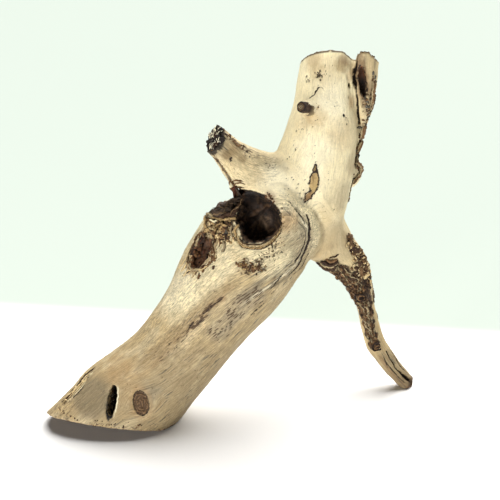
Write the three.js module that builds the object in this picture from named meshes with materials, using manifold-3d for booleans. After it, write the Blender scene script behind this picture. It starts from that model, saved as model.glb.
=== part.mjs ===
// A driftwood root sculpture: a weathered trunk, sawn off at the foot, that leans up to a fork.
// From the fork rise a sawn upper limb with a split slab and a short broken stub, and a thin
// crooked leg root drops back to the ground, so the piece stands on its sawn end and one toe.
// Millimetres, +Z up. X runs across the sculpture, and Y runs from its front to its back.
import * as THREE from "three";
import { mergeVertices } from "three/addons/utils/BufferGeometryUtils.js";
import Module from "manifold-3d";

const wasm = await Module();
wasm.setup();

// Driving dimensions
const JOINT_GAP = 0.3;
const DOME_FLAT = 0.97;
const SPINE_SAMPLES = 90;
const FAR = 400;
const BACK = new THREE.Vector3(0, 1, 0);

// The wood, one limb at a time. A station is a point of the centre line, followed by the
// limb's half width across the sculpture and its half thickness from front to back.
const TRUNK = {
  stations: [
    [-130.5, 5, -22, 50, 38],
    [-106, 8, 12, 42, 37],
    [-86, 12, 31, 40, 36],
    [-65, 17, 52, 37, 35],
    [-39, 25, 84, 38.5, 37],
    [-11, 34, 122, 47, 40],
    [8, 41, 149, 47.5, 41],
    [23, 45, 165, 39.5, 38],
  ],
  around: 38,
  rows: 30,
  roundEnd: 30,
  waves: [
    { count: 2, size: 0.03, phase: 0.4, twist: 2.2 },
    { count: 3, size: 0.028, phase: 1.1, twist: -1.6 },
    { count: 5, size: 0.012, phase: 2.6, twist: 3.1 },
  ],
};

// The upper limb and the leg root are one stem that runs past the trunk's head
const STEM = {
  stations: [
    [64, 71, 306, 21.5, 22],
    [62, 69, 282, 23, 23.5],
    [60, 65, 258, 25, 26],
    [58, 61, 233, 30, 29],
    [54, 57, 205, 32, 31],
    [52.5, 54, 180, 30.5, 29],
    [57.5, 55, 158, 24.5, 24],
    [71, 58, 138, 20, 19],
    [84, 61, 122, 15.5, 16],
    [92, 63, 109, 12.5, 13.5],
    [97, 65, 96, 10.3, 11.5],
    [102, 67, 80, 7.9, 9.2],
    [106.5, 68, 63, 7.9, 8.8],
    [112.5, 69, 44, 9, 9.2],
    [120, 70, 32, 8.4, 8.6],
    [128.5, 71, 20, 7.9, 8.2],
    [139, 71, 8, 7.4, 7.8],
    [145, 71, 2, 7.2, 7.4],
  ],
  around: 26,
  rows: 56,
  roundEnd: 4,
  waves: [
    { count: 2, size: 0.03, phase: 2.0, twist: 2.5 },
    { count: 3, size: 0.025, phase: 0.3, twist: 6.4 },
  ],
};

const STUB = {
  stations: [
    [32, 48, 178, 27, 25],
    [10, 41, 200, 23, 20],
    [-9, 33, 217, 15.5, 14],
    [-20, 28, 229, 11.5, 11],
    [-35, 20, 245, 10.5, 10.5],
  ],
  around: 20,
  rows: 14,
  roundStart: 6,
  waves: [
    { count: 2, size: 0.05, phase: 0.9, twist: 1.1 },
    { count: 5, size: 0.025, phase: 0.2, twist: 0.8 },
  ],
};

// A strip that has split from the limb along its outer side and stays joined low down
const SPLIT_SLAB = {
  stations: [
    [83, 62, 192, 5, 7],
    [87, 63, 201, 6.5, 9],
    [86.5, 64, 215, 4, 9],
    [89, 66, 235, 6, 10],
    [91.5, 67, 254, 8, 12],
    [91, 67, 273, 12.2, 13.5],
    [91.5, 68, 303, 13, 14.5],
  ],
  around: 18,
  rows: 22,
  roundStart: 4,
  roundEnd: 5,
  waves: [{ count: 4, size: 0.05, phase: 0.5, twist: 4.0 }],
};

const TWIG_PEG = {
  stations: [
    [62, 52, 253, 13, 13],
    [52, 43, 257, 9, 9],
    [46, 37, 259.5, 6, 6],
    [39.5, 30.5, 261, 5.2, 5.2],
  ],
  around: 12,
  rows: 8,
  roundEnd: 2,
  waves: [],
};

// The rough bark that still clings to the shoulder of the leg root
const BARK_RIDGE = {
  stations: [
    [81.5, 58, 150, 2.5, 5],
    [87, 57, 141, 4, 8],
    [92.5, 57, 130, 5.5, 9],
    [97, 58, 119, 6, 9],
    [99, 59, 112, 5, 7],
  ],
  around: 12,
  rows: 17,
  roundStart: 2,
  roundEnd: 3,
  waves: [{ count: 5, size: 0.1, phase: 0, twist: 22 }],
};

// The crust of rotten bark along the trunk's upper edge, from the knot hole to the pocket
const BARK_CRUST = {
  stations: [
    [-11.5, 24.5, 187.5, 4, 5],
    [-19.5, 22, 181, 6, 7],
    [-29, 21, 173, 6, 8],
    [-34, 16, 163, 5, 7],
  ],
  around: 12,
  rows: 12,
  roundStart: 2,
  roundEnd: 3,
  waves: [{ count: 4, size: 0.12, phase: 1, twist: 16 }],
};

// Knots, lumps and swellings: where they sit, how far they stand out and how wide they are
const TRUNK_BUMPS = [
  { at: [-138, 2, 52], height: 3, reach: 17 },
  { at: [-20, 4, 190], height: 3, reach: 14 },
  { at: [42, 28, 148], height: 3, reach: 18 },
  { at: [-40, 62, 120], height: 6, reach: 20 },
];
const STEM_BUMPS = [
  { at: [36, 66, 214], height: 3, reach: 16 },
  { at: [97, 53, 96], height: 3.2, reach: 6 },
  { at: [111.5, 59, 45], height: 2.2, reach: 5 },
  { at: [107, 76, 58], height: 2, reach: 7 },
];

// How wide the wood's own fillets are where limbs meet
const FORK_FILLET = 18;
const STUB_FILLET = 18;
const PEG_FILLET = 11;
const SLAB_FILLET = 5;
// A fillet keeps a faint crease, and it runs on a little way inside the other limb
const FILLET_FULLNESS = 0.8;
const FILLET_OVERRUN = 1.3;

// The open knot hole, whose outline runs from its upper left corner round to the right
const KNOT_HOLE = {
  centre: [6, 2, 181],
  inwards: [0.06, 0.95, -0.3],
  depth: 33,
  outline: [
    [-17, 21],
    [-6, 22],
    [5, 18],
    [15, 9],
    [19, -1],
    [18, -11],
    [10, -18],
    [-1, -22],
    [-12, -20],
    [-14, -11],
    [-20, -4],
    [-17, 9],
  ],
  floor: 0.72,
};

// Lens-shaped hollows: the middle, the way each one faces, its half width, depth and length,
// and how far its length leans over to the right
const POCKET = { at: [-38.5, 11, 150.5], facing: [-0.5, -0.75, 0.4], half: [8, 9, 17], lean: 0.42 };
const FOOT_SLIT = { at: [-110.5, -18, 32], facing: [-0.2, -1, 0], half: [3.8, 13, 14], lean: 0.12 };
const FOOT_FACET = { at: [-130.5, -23.5, 38.5], facing: [-0.37, -0.81, 0.46], half: [24, 9, 27], lean: 0.4 };
const TIP_GROOVE = { at: [-144, -5, 36], facing: [-0.7, -0.5, 0.5], half: [2.2, 6, 20], lean: 0.5 };
const SLAB_CAVITY = { at: [90.5, 54, 277], facing: [0, -1, 0], half: [3.2, 8, 12.5], lean: -0.15 };
const SLAB_CRACK = { at: [79, 52, 276], facing: [0, -1, 0], half: [1.3, 11, 24], lean: -0.18 };
const TOE_CLEFT = { at: [138, 64, 16], facing: [0, -1, 0], half: [1.2, 11, 18], lean: -0.72 };
const BACK_SCAR = { at: [-46, 62, 92], facing: [-0.1, 1, 0.1], half: [8, 5, 21], lean: 0.6 };

// Plane cuts: the sawn foot slopes up to the front and to the left, behind a worn flat heel at
// the ground. The upper limb and its slab are sawn off together, sloping down to the back, and
// the stub is broken off square.
const HEEL = { at: [0, 0, 0], away: [0, 0, -1] };
const SAWN_FOOT = { at: [-105, 5, 0], away: [-0.13, -0.33, -1] };
const SAWN_TOP = { at: [62, 48, 304], away: [-0.03, 0.52, 1] };
const BROKEN_END = { at: [-27.5, 23, 238], away: [-0.74, -0.48, 0.46], width: 60 };

// Where each limb parts from the trunk: a point of the joint and the way the limb leaves it
const UPPER_JOINT = { at: [50, 56, 205], away: [0.5, 0.08, 0.86], width: 150 };
const STUB_JOINT = { at: [1, 37, 211], away: [-0.77, -0.3, 0.54], width: 46 };
const LEG_JOINT = { at: [78, 60, 131], away: [0.52, 0.06, -0.85], width: 66 };

const vector = ([x, y, z]) => new THREE.Vector3(x, y, z);
const turned = (from, to) =>
  new THREE.Quaternion().setFromUnitVectors(vector(from).normalize(), vector(to).normalize());

// A limb is a round-ended sweep whose section changes along a smooth centre line
class Limb {
  constructor({ stations, around, rows, roundStart = 0, roundEnd = 0, waves }, bumps = []) {
    Object.assign(this, { around, rows, roundStart, roundEnd, waves, bumps });
    this.spine = new THREE.CatmullRomCurve3(stations.map(vector), false, "centripetal");
    this.halves = new THREE.CatmullRomCurve3(
      stations.map(([, , , across, deep]) => new THREE.Vector3(across, deep, 0)),
      false,
      "centripetal",
    );
    // The same parameter then finds the centre line and the section
    this.steps = stations.length - 1;
    this.length = this.spine.getLength();
    this.samples = [];
    for (let i = 0; i <= SPINE_SAMPLES; i++) this.samples.push(this.section(i / SPINE_SAMPLES));
  }

  section(share) {
    const t = this.spine.getUtoTmapping(share);
    const centre = this.spine.getPoint(t);
    const along = this.spine.getTangent(t);
    const across = new THREE.Vector3().crossVectors(along, BACK).normalize();
    const deep = new THREE.Vector3().crossVectors(across, along);
    const half = this.halves.getPoint(t);
    return { centre, along, across, deep, half, share };
  }

  wave(angle, share) {
    let sum = 1;
    for (const { count, size, phase, twist } of this.waves) {
      sum += size * Math.cos(count * angle + phase + twist * share);
    }
    return sum;
  }

  // The surface point at a place along the limb, from 0 to 1, and a direction in its section
  surface(place, x, y) {
    const whole = this.length + this.roundStart + this.roundEnd;
    const run = place * whole - this.roundStart;
    const share = THREE.MathUtils.clamp(run / this.length, 0, 1);
    const { centre, along, across, deep, half } = this.section(share);
    const past = run - share * this.length;
    const round = past < 0 ? this.roundStart : this.roundEnd;
    const shrink = round > 0 ? Math.sqrt(1 - ((DOME_FLAT * past) / round) ** 2) : 1;
    const size = shrink * this.wave(Math.atan2(y, x), share);
    const outward = new THREE.Vector3()
      .addScaledVector(across, x * half.x * size)
      .addScaledVector(deep, y * half.y * size);
    const point = centre.clone().addScaledVector(along, past).add(outward);
    if (outward.lengthSq() > 0) outward.normalize();
    for (const { at, height, reach } of this.bumps) {
      const push = height * Math.exp(-point.distanceToSquared(vector(at)) / reach ** 2);
      point.addScaledVector(outward, push);
    }
    return { point, outward };
  }

  // Roughly how far a point is outside this limb, and the way out from its centre line
  distanceTo(point) {
    let near = this.samples[0];
    let least = Infinity;
    for (const sample of this.samples) {
      const gap = sample.centre.distanceToSquared(point);
      if (gap < least) {
        least = gap;
        near = sample;
      }
    }
    const offset = point.clone().sub(near.centre);
    const past = offset.dot(near.along);
    offset.addScaledVector(near.along, -past);
    const x = offset.dot(near.across) / near.half.x;
    const y = offset.dot(near.deep) / near.half.y;
    const reach = Math.hypot(x, y) / this.wave(Math.atan2(y, x), near.share);
    const radius = offset.length();
    const beside = reach > 0 ? radius * (1 - 1 / reach) : -near.half.x;
    return { distance: Math.hypot(Math.max(beside, 0), past) + Math.min(beside, 0), out: offset.normalize() };
  }

  // The limb's closed mesh, its surface drawn out into the fillets it shares with its neighbours
  geometry(neighbours = []) {
    const geometry = new THREE.CylinderGeometry(1, 1, 1, this.around, this.rows);
    geometry.deleteAttribute("normal");
    geometry.deleteAttribute("uv");
    const position = geometry.getAttribute("position");
    for (let i = 0; i < position.count; i++) {
      const { point, outward } = this.surface(position.getY(i) + 0.5, position.getX(i), position.getZ(i));
      const pull = new THREE.Vector3();
      for (const { limb, fillet } of neighbours) {
        const { distance, out } = limb.distanceTo(point);
        const share = THREE.MathUtils.clamp(1 - distance / fillet, 0, FILLET_OVERRUN);
        const turn = Math.min(share, 1) / 2;
        const way = outward.clone().multiplyScalar(1 - turn).addScaledVector(out, turn).normalize();
        const slope = Math.max(way.dot(outward), 0.5);
        pull.addScaledVector(way, (FILLET_FULLNESS * share ** 2 * fillet) / 4 / slope);
      }
      point.add(pull);
      position.setXYZ(i, point.x, point.y, point.z);
    }
    return geometry;
  }
}

// A closed three.js geometry as a solid that can be joined and cut
function solid(geometry) {
  const bare = geometry.clone();
  for (const name of Object.keys(bare.attributes)) {
    if (name !== "position") bare.deleteAttribute(name);
  }
  const merged = mergeVertices(bare, 1e-3);
  return new wasm.Manifold(
    new wasm.Mesh({
      numProp: 3,
      vertProperties: new Float32Array(merged.getAttribute("position").array),
      triVerts: new Uint32Array(merged.index.array),
    }),
  );
}

function lens({ at, facing, half, lean }) {
  const geometry = new THREE.SphereGeometry(1, 12, 7);
  geometry.scale(...half);
  geometry.rotateY(lean);
  geometry.applyQuaternion(turned([0, -1, 0], facing));
  geometry.translate(...at);
  return solid(geometry);
}

// The knot hole: its outline swept inwards, narrowing to a rounded floor
function knotHole({ centre, inwards, depth, outline, floor }) {
  const rim = new THREE.CatmullRomCurve3(
    outline.map(([x, z]) => new THREE.Vector3(x, 0, z)),
    true,
    "centripetal",
  );
  const sides = 24;
  const rings = 7;
  const geometry = new THREE.CylinderGeometry(1, 1, 1, sides, rings);
  geometry.deleteAttribute("normal");
  geometry.deleteAttribute("uv");
  const position = geometry.getAttribute("position");
  for (let i = 0; i < position.count; i++) {
    const x = position.getX(i);
    const z = position.getZ(i);
    const angle = Math.atan2(x, z) / (2 * Math.PI);
    const edge = rim.getPointAt(THREE.MathUtils.euclideanModulo(angle, 1));
    const inside = position.getY(i) + 0.5;
    const narrowing = Math.sqrt(Math.max(1 - (floor * inside) ** 2, 0)) * Math.hypot(x, z);
    const point = vector(centre)
      .addScaledVector(edge, narrowing * (inside > 0.95 ? floor : 1))
      .addScaledVector(vector(inwards), (inside * 1.5 - 0.5) * depth);
    position.setXYZ(i, point.x, point.y, point.z);
  }
  return solid(geometry);
}

// A block that fills everything beyond a plane, or no more than a width of it
function halfSpace({ at, away, width = FAR }) {
  const geometry = new THREE.BoxGeometry(width, width, FAR);
  geometry.translate(0, 0, FAR / 2);
  geometry.applyQuaternion(turned([0, 0, 1], away));
  geometry.translate(...at);
  return solid(geometry);
}

function wholeWood() {
  const trunk = new Limb(TRUNK, TRUNK_BUMPS);
  const stem = new Limb(STEM, STEM_BUMPS);
  const stub = new Limb(STUB);
  const peg = new Limb(TWIG_PEG);
  const beside = (limb, fillet) => ({ limb, fillet });
  return [
    trunk.geometry([beside(stem, FORK_FILLET), beside(stub, STUB_FILLET)]),
    stem.geometry([beside(trunk, FORK_FILLET), beside(stub, STUB_FILLET), beside(peg, PEG_FILLET)]),
    stub.geometry([beside(trunk, STUB_FILLET), beside(stem, STUB_FILLET)]),
    peg.geometry([beside(stem, PEG_FILLET)]),
    new Limb(SPLIT_SLAB).geometry([beside(stem, SLAB_FILLET)]),
    new Limb(BARK_RIDGE).geometry(),
    new Limb(BARK_CRUST).geometry(),
  ]
    .map(solid)
    .reduce((joined, next) => joined.add(next));
}

function carvedWood() {
  const hollows = [
    POCKET,
    FOOT_SLIT,
    FOOT_FACET,
    TIP_GROOVE,
    SLAB_CAVITY,
    SLAB_CRACK,
    TOE_CLEFT,
    BACK_SCAR,
  ];
  const cutters = [
    knotHole(KNOT_HOLE),
    ...hollows.map(lens),
    ...[HEEL, SAWN_FOOT, SAWN_TOP, BROKEN_END].map(halfSpace),
  ];
  return cutters.reduce((wood, cutter) => wood.subtract(cutter), wholeWood());
}

// The largest body of a solid, without any chips that the cuts have freed
function mainBody(whole) {
  return whole.decompose().sort((a, b) => b.volume() - a.volume())[0];
}

function node(name, whole, color, roughness) {
  const { numProp, vertProperties, triVerts } = mainBody(whole).getMesh();
  const positions = new Float32Array((vertProperties.length / numProp) * 3);
  for (let i = 0; i * numProp < vertProperties.length; i++) {
    positions.set(vertProperties.subarray(i * numProp, i * numProp + 3), i * 3);
  }
  const geometry = new THREE.BufferGeometry();
  geometry.setAttribute("position", new THREE.BufferAttribute(positions, 3));
  geometry.setIndex(new THREE.BufferAttribute(new Uint32Array(triVerts), 1));
  geometry.computeVertexNormals();
  const mesh = new THREE.Mesh(geometry, new THREE.MeshStandardMaterial({ color, roughness, metalness: 0 }));
  mesh.name = name;
  return mesh;
}

// Parts the wood at each fork, with the trunk keeping what no limb takes
function sculpture() {
  const wood = carvedWood();
  const backed = ({ at, away, width }) => ({
    at: vector(at).addScaledVector(vector(away).normalize(), -JOINT_GAP).toArray(),
    away,
    width,
  });
  const joints = { broken_stub: STUB_JOINT, upper_limb: UPPER_JOINT, leg_root: LEG_JOINT };
  const colors = { broken_stub: 0xc9b489, upper_limb: 0xe3d3ae, leg_root: 0x8a6a48 };
  const group = new THREE.Group();
  let rest = wood;
  for (const [name, joint] of Object.entries(joints)) {
    group.add(node(name, rest.intersect(halfSpace(joint)), colors[name], 0.75));
    rest = rest.subtract(halfSpace(backed(joint)));
  }
  group.add(node("trunk", rest, 0xd2c093, 0.75));
  const box = new THREE.Box3().setFromObject(group);
  const middle = box.getCenter(new THREE.Vector3());
  group.position.set(-middle.x, -middle.y, -box.min.z);
  return group;
}

export default sculpture();
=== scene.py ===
"""Driftwood root sculpture: its looks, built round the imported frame.

The frame's four solids are joined, remeshed finely, and carved with grain, cracks, pits, bark and
crumbs. The wood is then parted again at its forks, so that each piece stands for one solid.
Places are in millimetres from the root's own origin, a point of the ground before its middle.
"""

import math

import bmesh
import bpy
import numpy as np
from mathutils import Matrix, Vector
from mathutils.bvhtree import BVHTree


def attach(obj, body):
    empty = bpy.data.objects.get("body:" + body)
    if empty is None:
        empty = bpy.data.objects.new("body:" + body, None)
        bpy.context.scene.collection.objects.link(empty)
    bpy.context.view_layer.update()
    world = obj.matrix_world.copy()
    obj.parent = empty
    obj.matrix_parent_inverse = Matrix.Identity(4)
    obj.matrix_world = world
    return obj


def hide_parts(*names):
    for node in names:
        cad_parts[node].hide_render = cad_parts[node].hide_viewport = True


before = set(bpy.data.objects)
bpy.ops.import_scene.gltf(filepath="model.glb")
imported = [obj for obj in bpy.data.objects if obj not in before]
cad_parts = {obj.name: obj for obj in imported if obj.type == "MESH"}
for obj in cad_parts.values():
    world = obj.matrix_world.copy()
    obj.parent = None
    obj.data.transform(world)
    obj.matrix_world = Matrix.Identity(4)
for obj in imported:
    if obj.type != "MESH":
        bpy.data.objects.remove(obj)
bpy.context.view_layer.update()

MM = 0.001
# The root's own origin in the frame, in millimetres
ROOT_ORIGIN = np.array([11.33, -32.651, 0.0])
# The distance of what is out of reach
FAR = 99.0

# How finely the wood is meshed, which edges stay sharp, and how far the facets bulge when they are cut finer
VOXEL = 1.33
CREASE_DEGREES = 38
FULLNESS = 0.75
FACET_CUTS = 3

# Centre lines of the limbs: x, y, z and the half widths across and from front to back
TRUNK = [
    [-130.5, 5, -22, 50, 38], [-106, 8, 12, 42, 37], [-86, 12, 31, 40, 36], [-65, 17, 52, 37, 35],
    [-39, 25, 84, 38.5, 37], [-11, 34, 122, 47, 40], [8, 41, 149, 47.5, 41], [23, 45, 165, 39.5, 38],
    [45, 52, 184, 34, 34],
]
STEM = [
    [64, 71, 306, 21.5, 22], [62, 69, 282, 23, 23.5], [60, 65, 258, 25, 26], [58, 61, 233, 30, 29],
    [54, 57, 205, 32, 31], [52.5, 54, 180, 30.5, 29], [57.5, 55, 158, 24.5, 24], [71, 58, 138, 20, 19],
    [84, 61, 122, 15.5, 16], [92, 63, 109, 12.5, 13.5], [97, 65, 96, 10.3, 11.5],
    [102, 67, 80, 7.9, 9.2], [106.5, 68, 63, 7.9, 8.8], [112.5, 69, 44, 9, 9.2], [120, 70, 32, 8.4, 8.6],
    [128.5, 71, 20, 7.9, 8.2], [139, 71, 8, 7.4, 7.8], [145, 71, 2, 7.2, 7.4],
]
STUB = [
    [32, 48, 178, 27, 25], [10, 41, 200, 23, 20], [-9, 33, 217, 15.5, 14], [-20, 28, 229, 11.5, 11],
    [-35, 20, 245, 10.5, 10.5],
]
SLAB = [
    [83, 62, 192, 5, 7], [86.5, 64, 215, 4, 9], [91.5, 67, 254, 8, 12], [91.5, 68, 303, 13, 14.5],
]
PEG = [
    [62, 52, 253, 13, 13], [52, 43, 257, 9, 9], [46, 37, 259.5, 6, 6], [39.5, 30.5, 261, 5.2, 5.2],
]
# The point that the limbs' lengths are measured from, so that the grain runs on from one to the next
FORK = np.array([45.0, 52.0, 184.0])

# Where each limb parts from the trunk: a point, the way the limb leaves, and the joint's width
JOINTS = {
    "broken_stub": {"at": [1, 37, 211], "away": [-0.77, -0.3, 0.54], "width": 46},
    "upper_limb": {"at": [50, 56, 205], "away": [0.5, 0.08, 0.86], "width": 150},
    "leg_root": {"at": [78, 60, 131], "away": [0.52, 0.06, -0.85], "width": 66},
}
SLOTS = {
    "trunk": "trunk_wood",
    "upper_limb": "limb_wood",
    "broken_stub": "stub_wood",
    "leg_root": "leg_wood",
}

# The knot hole, and the hollows round it: their middles, the way they face and their half sizes
HOLE = {"at": [6, 2, 181], "inwards": [0.06, 0.95, -0.3]}
POCKET = {"at": [-38.5, 11, 150.5], "facing": [-0.5, -0.75, 0.4], "half": [8.6, 17.4], "lean": 0.42}
SLIT = {"at": [-110.5, -18, 32], "facing": [-0.2, -1, 0], "half": [3.7, 13.6], "lean": 0.12}
FACET = {"at": [-127.7, -17.6, 34], "facing": [-0.37, -0.81, 0.46], "half": [19, 21], "lean": 0.4}
CAVITY = {"at": [90.3, 54, 277.5], "facing": [0, -1, 0], "half": [2.9, 13], "lean": -0.17}
FOOT_KNOT = {"at": [-87.6, -23.2, 31.8], "facing": [0.06, -0.98, 0.2], "half": [6.3, 10.4], "lean": -0.15}


def mouth(place):
    """How a hollow lies on the surface: its middle, the way it faces, its half sizes and its lean."""
    return place["at"], place["facing"], place["half"], place["lean"]


# Colours are sRGB, 0 to 255
def colour(red, green, blue):
    """A colour as the linear light that Blender works in."""
    share = np.array([red, green, blue]) / 255
    return np.where(share <= 0.04045, share / 12.92, ((share + 0.055) / 1.055) ** 2.4)


PALE = colour(250, 241, 208)
CREAM = colour(240, 227, 186)
TAN = colour(196, 174, 130)
LOW_TAN = colour(176, 155, 116)
SAND = colour(192, 168, 122)
DRAB = colour(160, 143, 110)
GREY = colour(112, 108, 96)
OCHRE = colour(176, 132, 78)
BROWN = colour(118, 84, 52)
UMBER = colour(66, 46, 31)
RUST = colour(112, 56, 32)
# Near black: charred wood, dark knot and twig centres and dark marks, and painted shade in the knot hole,
# the slit and under the brow.
NEAR_BLACK = colour(26, 20, 17)
BARK = colour(110, 83, 55)
STRAW = colour(168, 141, 96)


# Noise: every surface mark is seeded, so each run makes the same wood
random = np.random.default_rng(11)
SHUFFLE = random.permutation(256)
SPINS = random.normal(size=(256, 3))
SPINS /= np.linalg.norm(SPINS, axis=1, keepdims=True)
SEEDS = random.random((256, 3))


def hashed(cell):
    first = SHUFFLE[cell[:, 0] & 255]
    second = SHUFFLE[(first + cell[:, 1]) & 255]
    return SHUFFLE[(second + cell[:, 2]) & 255]


def noise(place):
    """Smooth noise from about -1 to 1, with bumps about one unit across."""
    cell = np.floor(place).astype(np.int64)
    part = place - cell
    ease = part**3 * (part * (part * 6 - 15) + 10)
    total = np.zeros(len(place))
    for corner in np.ndindex(2, 2, 2):
        pull = (SPINS[hashed(cell + corner)] * (part - corner)).sum(1)
        total += pull * np.prod(np.where(corner, ease, 1 - ease), axis=1)
    return total * 1.6


def layered(place, layers=3, gain=0.5):
    """Noise with finer noise on top."""
    return sum(gain**i * noise(place * 2**i + 17.3 * i) for i in range(layers))


def cells(place):
    """Distances to the nearest and the second nearest of scattered seeds, and the nearest's number."""
    cell = np.floor(place).astype(np.int64)
    nearest = np.full(len(place), FAR)
    second = np.full(len(place), FAR)
    number = np.zeros(len(place), int)
    for corner in np.ndindex(3, 3, 3):
        there = cell + corner - 1
        mixed = hashed(there)
        apart = np.linalg.norm(there + SEEDS[mixed] - place, axis=1)
        closer = apart < nearest
        second = np.where(closer, nearest, np.minimum(second, apart))
        number = np.where(closer, mixed, number)
        nearest = np.minimum(nearest, apart)
    return nearest, second, number


def eased(value, low, high):
    """0 below low, 1 above high and smooth between them; low may be the greater."""
    share = np.clip((value - low) / (high - low), 0, 1)
    return share * share * (3 - 2 * share)


def unit(vector):
    vector = np.asarray(vector, float)
    return vector / np.linalg.norm(vector)


def upright(out):
    """The directions up and sideways on a face that looks a given way."""
    up = unit(np.array([0, 0, 1]) - out[2] * out)
    return up, np.cross(up, out)


def columns(*values):
    return np.stack(values, axis=1)


def curve(points, steps):
    """Points along the smooth curve through some rows, with this many steps from each to the next."""
    ends = [2 * points[0] - points[1], *points, 2 * points[-1] - points[-2]]
    rows = []
    for before, start, stop, after in zip(ends, ends[1:], ends[2:], ends[3:]):
        bend = 2 * before - 5 * start + 4 * stop - after
        twist = 3 * start - before - 3 * stop + after
        for share in np.arange(steps) / steps:
            rows.append(start + 0.5 * share * ((stop - before) + share * (bend + share * twist)))
    return np.array([*rows, points[-1]])


# Mesh handling
def placed(name, data):
    made = bpy.data.objects.new(name, data)
    bpy.context.scene.collection.objects.link(made)
    return made


def new_mesh(name, points, faces):
    mesh = bpy.data.meshes.new(name)
    mesh.from_pydata((points * MM + ROOT_ORIGIN * MM).tolist(), [], faces)
    mesh.update()
    return mesh


def rows_of(items, name, width=3, kind=float):
    """A property of a mesh's parts, as rows of numbers."""
    flat = np.empty(len(items) * width, kind)
    items.foreach_get(name, flat)
    return flat.reshape(-1, width)


def points_of(mesh):
    return rows_of(mesh.vertices, "co") / MM - ROOT_ORIGIN


def move_points(mesh, points):
    mesh.vertices.foreach_set("co", ((points + ROOT_ORIGIN) * MM).ravel())
    mesh.update()


def normals_of(mesh):
    return rows_of(mesh.vertex_normals, "vector")


def edges_of(mesh):
    return rows_of(mesh.edges, "vertices", 2, int)


def relaxed(values, edges, rounds, share=0.5, back=-0.52, where=None):
    """Values evened out along the edges, with the shrinking taken back every other round."""
    one, other = edges.T
    count = len(values)
    degree = np.bincount(one, minlength=count) + np.bincount(other, minlength=count)
    for step in range(rounds):
        total = columns(
            *(
                np.bincount(one, values[other, k], count) + np.bincount(other, values[one, k], count)
                for k in range(values.shape[1])
            )
        )
        pull = total / np.maximum(degree, 1)[:, None] - values
        if where is not None:
            pull *= where[:, None]
        values = values + (share if step % 2 == 0 else back) * pull
    return values


def frame_corners(node):
    """The corners of a frame solid's triangles."""
    mesh = node.data
    mesh.calc_loop_triangles()
    return points_of(mesh)[rows_of(mesh.loop_triangles, "vertices", 3, int)]


def corner_normals(corners):
    """Each triangle corner's normal, shared with the triangles that meet it at less than a crease."""
    area = np.cross(corners[:, 1] - corners[:, 0], corners[:, 2] - corners[:, 0])
    flat = area / np.maximum(np.linalg.norm(area, axis=1, keepdims=True), 1e-12)
    _, point = np.unique(np.round(corners.reshape(-1, 3), 2), axis=0, return_inverse=True)
    point = point.ravel()
    order = np.argsort(point, kind="stable")
    face = order // 3
    size = np.bincount(point)
    start = np.concatenate([[0], np.cumsum(size)[:-1]])[point[order]]
    size = size[point[order]]
    place = np.arange(len(order)) - start
    total = np.zeros((len(order), 3))
    limit = math.cos(math.radians(CREASE_DEGREES))
    for step in range(size.max()):
        other = face[start + (place + step) % size]
        joined = ((flat[face] * flat[other]).sum(1) > limit) & (step < size)
        total += area[other] * joined[:, None]
    normals = np.empty_like(total)
    normals[order] = total / np.linalg.norm(total, axis=1, keepdims=True)
    return normals.reshape(-1, 3, 3)


def rounded(corners):
    """The triangles cut finer and bulged to the curve that their normals give."""
    normals = corner_normals(corners)

    def at(shares):
        flat = np.einsum("k,nkj->nj", shares, corners)
        off = ((flat[:, None] - corners) * normals).sum(2)
        curved = np.einsum("k,nkj->nj", shares, flat[:, None] - off[..., None] * normals)
        return flat + FULLNESS * (curved - flat)

    steps = FACET_CUTS
    spot = {
        (i, j): at(np.array([steps - i - j, i, j]) / steps)
        for i in range(steps + 1)
        for j in range(steps + 1 - i)
    }
    pieces = []
    for i in range(steps):
        for j in range(steps - i):
            pieces.append([spot[i, j], spot[i + 1, j], spot[i, j + 1]])
            if i + j < steps - 1:
                pieces.append([spot[i + 1, j], spot[i + 1, j + 1], spot[i, j + 1]])
    return np.concatenate([np.stack(piece, axis=1) for piece in pieces])


def remeshed(name, soup, voxel):
    """One even closed skin round the triangles of a soup."""
    count = len(soup)
    mesh = new_mesh(name, soup.reshape(-1, 3), np.arange(count * 3).reshape(-1, 3).tolist())
    shape = placed(name, mesh)
    change = shape.modifiers.new("even", "REMESH")
    change.mode = "VOXEL"
    change.voxel_size = voxel * MM
    ready = shape.evaluated_get(bpy.context.evaluated_depsgraph_get())
    skin = bpy.data.meshes.new_from_object(ready)
    skin.name = name
    bpy.data.objects.remove(shape)
    bpy.data.meshes.remove(mesh)
    return skin


def refined(mesh, wanted):
    """The mesh with the faces cut in four where both ends of their edges are wanted."""
    work = bmesh.new()
    work.from_mesh(mesh)
    edges = [edge for edge in work.edges if all(wanted[vert.index] for vert in edge.verts)]
    bmesh.ops.subdivide_edges(work, edges=edges, cuts=1, use_grid_fill=True)
    work.to_mesh(mesh)
    work.free()
    mesh.update()
    return mesh


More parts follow.
